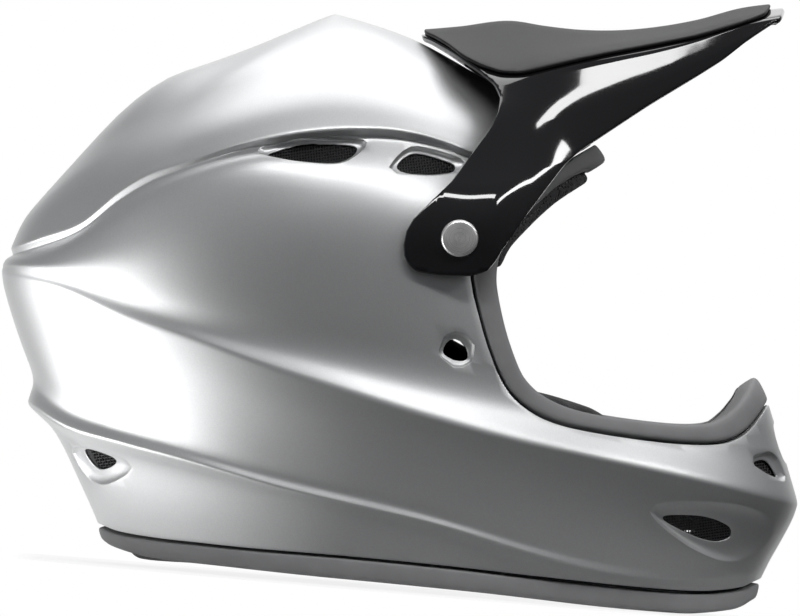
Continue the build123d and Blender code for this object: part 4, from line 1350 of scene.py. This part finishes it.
def dressed_pad(node, finish, voxel, shrink, seams, pinch=(1.2, 2.2)):
    """A finished pad with its seams pinched in and sewn; seams are guide lines near its cover."""
    obj = puffed(node, voxel, shrink)
    guides = [laid_on(tree_of(obj), seam, 0) for seam in seams]
    pinched(obj, guides, *pinch)
    obj.data.shade_smooth()
    obj.data.materials.append(finishes[finish])
    finish_piece(obj, "helmet", node)
    cover = tree_of(obj)
    sewn = grown(node + "_stitches", [laid_on(cover, guide, .15) for guide in guides],
                 stitches, "thread")
    finish_piece(sewn, "helmet")


# %% [markdown]
# Each cheek pad has two seams round its inner face, and the neck roll two seams along it.

# %% Cheek pads and neck roll
cheek_seam_y = 47 * mm
roll_middle = -22 * mm


def arc(middle, reach_x, reach_y, z, start, end, count=120):
    """Points of an ellipse's arc at one height, measured from the rear."""
    angles = np.radians(np.linspace(start, end, count))
    return np.stack([middle - reach_x * mm * np.cos(angles), reach_y * mm * np.sin(angles),
                     np.full(count, z * mm)], axis=1)


cheek_line = smooth_points(side_line([
    (330, 398), (345, 362), (390, 342), (450, 347), (490, 368), (515, 394), (545, 404), (582, 414),
    (612, 433), (618, 460), (592, 480), (538, 490), (450, 480), (366, 464), (330, 436)]), closed=True)
cheek_middle = cheek_line.mean(axis=0)


def cheek_seam(share, y):
    spots = cheek_middle + (cheek_line - cheek_middle) * share
    spots = np.vstack([spots, spots[:1]])
    return np.stack([spots[:, 0], np.full(len(spots), y), spots[:, 1]], axis=1)


for side_sign, word in ((1, "left"), (-1, "right")):
    dressed_pad("cheek_pad_" + word, "knit_fabric", 4, 1.0,
                [cheek_seam(share, side_sign * cheek_seam_y) for share in (.86, .45)])
dressed_pad("neck_roll", "air_mesh", 3.5, .9,
            [arc(roll_middle, 76, 73, height, -64, 64) for height in (30, 8)])


# %% [markdown]
# The liner over the crown has six seams that climb from its edge and a round one on top. Mesh
# cloth spans the windows between its pads, halfway through their thickness.

# %% Crown comfort liner
crown_seams = []
head_x, head_z = -39 * mm, 130 * mm
seam_reach_x, seam_reach_y, seam_reach_z = 93 * mm, 74 * mm, 76 * mm
ring_seam_radius, ring_seam_rise = 26 * mm, 74 * mm
for turn in range(6):
    angle = math.radians(60 * turn)
    rise = np.radians(np.linspace(15, 62, 40))
    crown_seams.append(np.stack([head_x + seam_reach_x * np.cos(rise) * math.cos(angle),
                                 seam_reach_y * np.cos(rise) * math.sin(angle),
                                 head_z + seam_reach_z * np.sin(rise)], axis=1))
circle = np.radians(np.linspace(0, 360, 90))
crown_seams.append(np.stack([head_x + ring_seam_radius * np.cos(circle),
                             ring_seam_radius * np.sin(circle),
                             np.full(len(circle), head_z + ring_seam_rise)], axis=1))
dressed_pad("comfort_liner", "knit_fabric", 3.5, .7, crown_seams)

# %% Mesh cloth of the liner
net_reach_x, net_reach_y, net_reach_z = 97 * mm, 78 * mm, 80 * mm
net_columns, net_levels = 96, 48
net_wall, net_rim, net_least = .6 * mm, .2 * mm, .4 * mm
net_margin = 3 * mm
net_turn = np.radians(np.linspace(0, 360, net_columns, endpoint=False))
net_rows = [np.stack([head_x + net_reach_x * np.cos(rise) * np.cos(net_turn),
                      net_reach_y * np.cos(rise) * np.sin(net_turn),
                      np.full(net_columns, head_z + net_reach_z * np.sin(rise))], axis=1)
            for rise in np.radians(np.linspace(-5, 89, net_levels))]
net_sheet = grid_sheet(net_rows, closed=True)
net_low, net_high = side_line([(330, 345), (545, 160)])
net_along = (net_high - net_low) / np.linalg.norm(net_high - net_low)
net_points = positions(net_sheet)[:, [0, 2]] - net_low
over_line = net_along[0] * net_points[:, 1] - net_along[1] * net_points[:, 0]
beyond = [vert for vert, over in zip(net_sheet.verts, over_line) if over < net_margin]
bmesh.ops.delete(net_sheet, geom=beyond, context="VERTS")
net_draft = mesh_object("liner_net", *thickened(net_sheet, net_wall, net_rim, least=net_least))
settled(net_draft, "comfort_liner_net", "air_mesh", "helmet")

# %% Brow pad and chin pad
brow_line = smooth_points(side_line([(597, 168), (575, 184), (548, 205), (525, 222), (512, 234)]))
brow_seam = np.vstack([np.stack([brow_line[::-1, 0], np.linspace(90, 45, len(brow_line)) * mm,
                                 brow_line[::-1, 1]], axis=1),
                       np.stack([np.full(60, brow_line[0, 0]), np.linspace(44, -44, 60) * mm,
                                 np.full(60, brow_line[0, 1])], axis=1),
                       np.stack([brow_line[:, 0], np.linspace(-45, -90, len(brow_line)) * mm,
                                 brow_line[:, 1]], axis=1)])
dressed_pad("brow_pad", "air_mesh", 2.5, .5, [brow_seam], pinch=(.8, 1.6))
chin_seam_x = 140 * mm
chin_seams = [np.stack([np.full(60, chin_seam_x), np.linspace(-60, 60, 60) * mm,
                        np.full(60, height * mm)], axis=1) for height in (40, 58)]
dressed_pad("chin_pad", "knit_fabric", 2.5, .5, chin_seams, pinch=(.7, 1.6))

# %% [markdown]
# The chin strap is two lengths of webbing. The left one is looped round the bars of both D
# rings, the right one is threaded up through them and folded back over itself.

# %% Route and section of the strap
strap_half, strap_wall = 10 * mm, 0.85 * mm
strap_x = -5 * mm
# across and up, in millimetres
left_route = [(68, 40), (68, 24), (50, 14.025), (32, 9.75), (19.05, 9.75), (19.05, 17.65),
              (37.05, 17.65)]
right_route = [(-68, 40), (-68, 24), (-50, 14.025), (-32, 9.75), (6.95, 9.75), (6.95, 17.65),
               (-50, 17.65)]
# shares of the half width and of the half thickness, with a thicker woven edge
strap_section = [(-1, -.3), (-.985, -.8), (-.95, -1), (-.88, -.86), (-.5, -.82), (0, -.82),
                 (.5, -.82), (.88, -.86), (.95, -1), (.985, -.8), (1, -.3), (1, .3), (.985, .8),
                 (.95, 1), (.88, .86), (.5, .82), (0, .82), (-.5, .82), (-.88, .86), (-.95, 1),
                 (-.985, .8), (-1, .3)]


def rounded_route(points, radius=2.2, parts=8):
    """An open line whose inner corners are rounded off."""
    points = np.asarray(points, float)
    route = [points[0]]
    for before, corner, after in zip(points, points[1:], points[2:]):
        back, on = before - corner, after - corner
        reach = min(radius, np.linalg.norm(back) / 2, np.linalg.norm(on) / 2)
        first = corner + back / np.linalg.norm(back) * reach
        last = corner + on / np.linalg.norm(on) * reach
        for part in range(parts + 1):
            t = part / parts
            route.append((1 - t) ** 2 * first + 2 * t * (1 - t) * corner + t * t * last)
    route.append(points[-1])
    return np.array(route)


def strap_edge(route):
    """Directions across the strap's thickness, one for each point of its line."""
    run = np.gradient(route, axis=0)
    run /= np.linalg.norm(run, axis=1)[:, None]
    return np.stack([-run[:, 1], run[:, 0]], axis=1)


print("strap routes:", len(left_route), "and", len(right_route), "corners")

# %% Strap and its stitches
strap_step = 1.2
# where the folded layers are sewn together, and above what height, in millimetres
sewn_across = {"left": (26, 36), "right": (-46, -20)}
sewn_layer, stitch_rise = 12, .8
for word, route in (("left", left_route), ("right", right_route)):
    line = walked(rounded_route(route), step=strap_step)
    across = strap_edge(line)
    rows = []
    for (y, z), (off_y, off_z) in zip(line, across):
        rows.append([(strap_x + wide * strap_half, y * mm + off_y * thick * strap_wall,
                      z * mm + off_z * thick * strap_wall) for wide, thick in strap_section])
    webbing = mesh_object("webbing", *closed_tube(rows))
    outward(webbing)
    settled(webbing, "chin_strap_" + word, "strap_webbing", "chin_strap", "strap_" + word, 50)
    low, high = sewn_across[word]
    rows = [[(strap_x + share * strap_half, (y + off_y * face * stitch_rise) * mm,
              (z + off_z * face * stitch_rise) * mm)
             for (y, z), (off_y, off_z) in zip(line, across) if low < y < high and z > sewn_layer]
            for face in (-1, 1) for share in (-.78, .78)]
    sewn = grown("strap_stitches_" + word, [row for row in rows if len(row) > 2], stitches, "thread")
    finish_piece(sewn, "chin_strap")


# %% [markdown]
# The helmet stands on a small table that looks white to the camera. What shines sees the table
# glow as well, but only towards the rear: there it glows like a white card in the reflections,
# painted light that no lamp gives, and under the chin it stays dark.

# %% Table
table_radius, table_corners, table_drop = 0.21, 96, 0.0006
table_ring = [(table_radius * math.cos(turn), table_radius * math.sin(turn), 0)
              for turn in np.linspace(0, 2 * math.pi, table_corners, endpoint=False)]
floor = mesh_object("floor", table_ring, [list(range(table_corners))])
floor.location.z = -table_drop
paper = Finish("floor_paper", (.86, .86, .86), .9)
paper.tint(paper.noise(6), .97, 1.0)
floor.data.materials.append(paper.material)
along_floor = paper.node("SeparateXYZ", {0: paper.node("TexCoord").outputs["Object"]}).outputs["X"]
# Strength of the table's glow in reflections: a little over white at the rear, almost none under the
# chin. This glow is painted light.
painted_rear_glow = paper.ramp(along_floor, 1.1, .07, -.17, -.03)
seen_by = paper.node("LightPath").outputs
strength = paper.node("Math", {0: painted_rear_glow, 1: seen_by["Is Camera Ray"]}, operation="MAXIMUM")
glow = paper.node("Emission", {"Color": (1, 1, 1, 1), "Strength": strength.outputs[0]})
seen = paper.node("Math", {0: seen_by["Is Camera Ray"], 1: seen_by["Is Glossy Ray"]},
                  operation="MAXIMUM")
clear = paper.node("Math", {0: seen.outputs[0], 1: seen_by["Is Transmission Ray"]},
                   operation="MAXIMUM")
share = paper.node("Math", {0: clear.outputs[0], 1: .85}, operation="MULTIPLY")
cover = paper.node("MixShader", {"Fac": share.outputs[0], 1: paper.shader.outputs["BSDF"],
                                 2: glow.outputs["Emission"]})
paper.join(cover.outputs["Shader"], paper.tree.nodes["Material Output"].inputs["Surface"])
print("table:", table_radius, "m")

# %% [markdown]
# The room is a dark studio. A large soft box above and behind lights the crown, and a narrow
# strip above, on the camera's side, draws the bright band along the long ridge. A low box behind
# looks past the small table and whitens the nape. A narrow front box draws the streak under the
# visor's crease and lights the chin.

# %% Lights
aim = Vector((0, 0, .13))


def soft_box(name, place, width, height, power, target=aim):
    """Rectangular area light that looks at the helmet."""
    lamp = bpy.data.lights.new(name, "AREA")
    lamp.shape, lamp.size, lamp.size_y, lamp.energy = "RECTANGLE", width, height, power
    obj = linked(name, lamp)
    obj.location = place
    obj.rotation_mode = "QUATERNION"
    obj.rotation_quaternion = (Vector(target) - Vector(place)).to_track_quat("-Z", "Y")
    print(name, "gives", power, "W")


soft_box("top_box", (.08, .45, 1.1), 1.5, .85, 9.5)
soft_box("strip_box", (.05, -.75, 1.05), 1.2, .14, 7)
soft_box("rear_box", (-1.2, -.1, -.35), 1.5, .9, 17, (-.12, 0, .07))
soft_box("front_box", (1.3, -.5, 1.05), .9, .13, 5.5)

# %% [markdown]
# The camera sees a white backdrop, and so does what shines straight back into the depth of the
# room. All other rays see the dark room, which gets lighter upward.

# %% Room
world = bpy.data.worlds.new("studio")
bpy.context.scene.world = world
world.use_nodes = True
sky = world.node_tree


def sky_node(kind, values=None, **settings):
    return add_node(sky, "ShaderNode" + kind, values, **settings)


room = sky.nodes["Background"]
room.inputs["Color"].default_value = (.1, .102, .105, 1)
backdrop = sky_node("Background", {"Color": (1, 1, 1, 1)})
rays = sky_node("LightPath").outputs
direction = sky_node("SeparateXYZ", {"Vector": sky_node("TexCoord").outputs["Generated"]}).outputs
rise = sky_node("MapRange", {"Value": direction["Z"], "From Min": -.2, "From Max": .6,
                             "To Min": .2, "To Max": 1.7})
sky.links.new(rise.outputs["Result"], room.inputs["Strength"])
behind = sky_node("MapRange", {"Value": direction["Y"], "From Min": .8, "From Max": .95})
shiny = sky_node("Math", {0: rays["Is Glossy Ray"], 1: rays["Is Transmission Ray"]},
                 operation="MAXIMUM")
mirrored = sky_node("Math", {0: shiny.outputs[0], 1: behind.outputs["Result"]},
                    operation="MULTIPLY")
shown = sky_node("Math", {0: rays["Is Camera Ray"], 1: mirrored.outputs[0]}, operation="MAXIMUM")
mixed = sky_node("MixShader", {"Fac": shown.outputs[0], 1: room.outputs["Background"],
                               2: backdrop.outputs["Background"]})
sky.links.new(mixed.outputs["Shader"], sky.nodes["World Output"].inputs["Surface"])
bpy.context.scene.view_settings.view_transform = "Standard"
print("world:", len(sky.nodes), "nodes")

# %% [markdown]
# The camera looks straight at the right side from far off, and is turned by the photograph's
# tilt, so that a pixel of the side view is a pixel of the picture.

# %% Camera
photo_width, photo_height = 800, 616
camera_distance = 12.0
sensor_width = 36
pixel_size = shell_length / (front - rear)
middle_x, middle_z = side((photo_width / 2, photo_height / 2))
camera_data = bpy.data.cameras.new("camera")
camera = linked("camera", camera_data)
bpy.context.scene.camera = camera
back = Vector((0, -1, 0))
right = Vector((math.cos(photo_tilt), 0, math.sin(photo_tilt)))
up = back.cross(right)
camera.matrix_world = Matrix((
    (right.x, up.x, back.x, middle_x + back.x * camera_distance),
    (right.y, up.y, back.y, back.y * camera_distance),
    (right.z, up.z, back.z, middle_z + back.z * camera_distance),
    (0, 0, 0, 1)))
camera_data.sensor_width = sensor_width
camera_data.lens = sensor_width * camera_distance / (photo_width * pixel_size)
camera_data.clip_start, camera_data.clip_end = 0.1, 60
print("lens", round(camera_data.lens, 1), "mm")
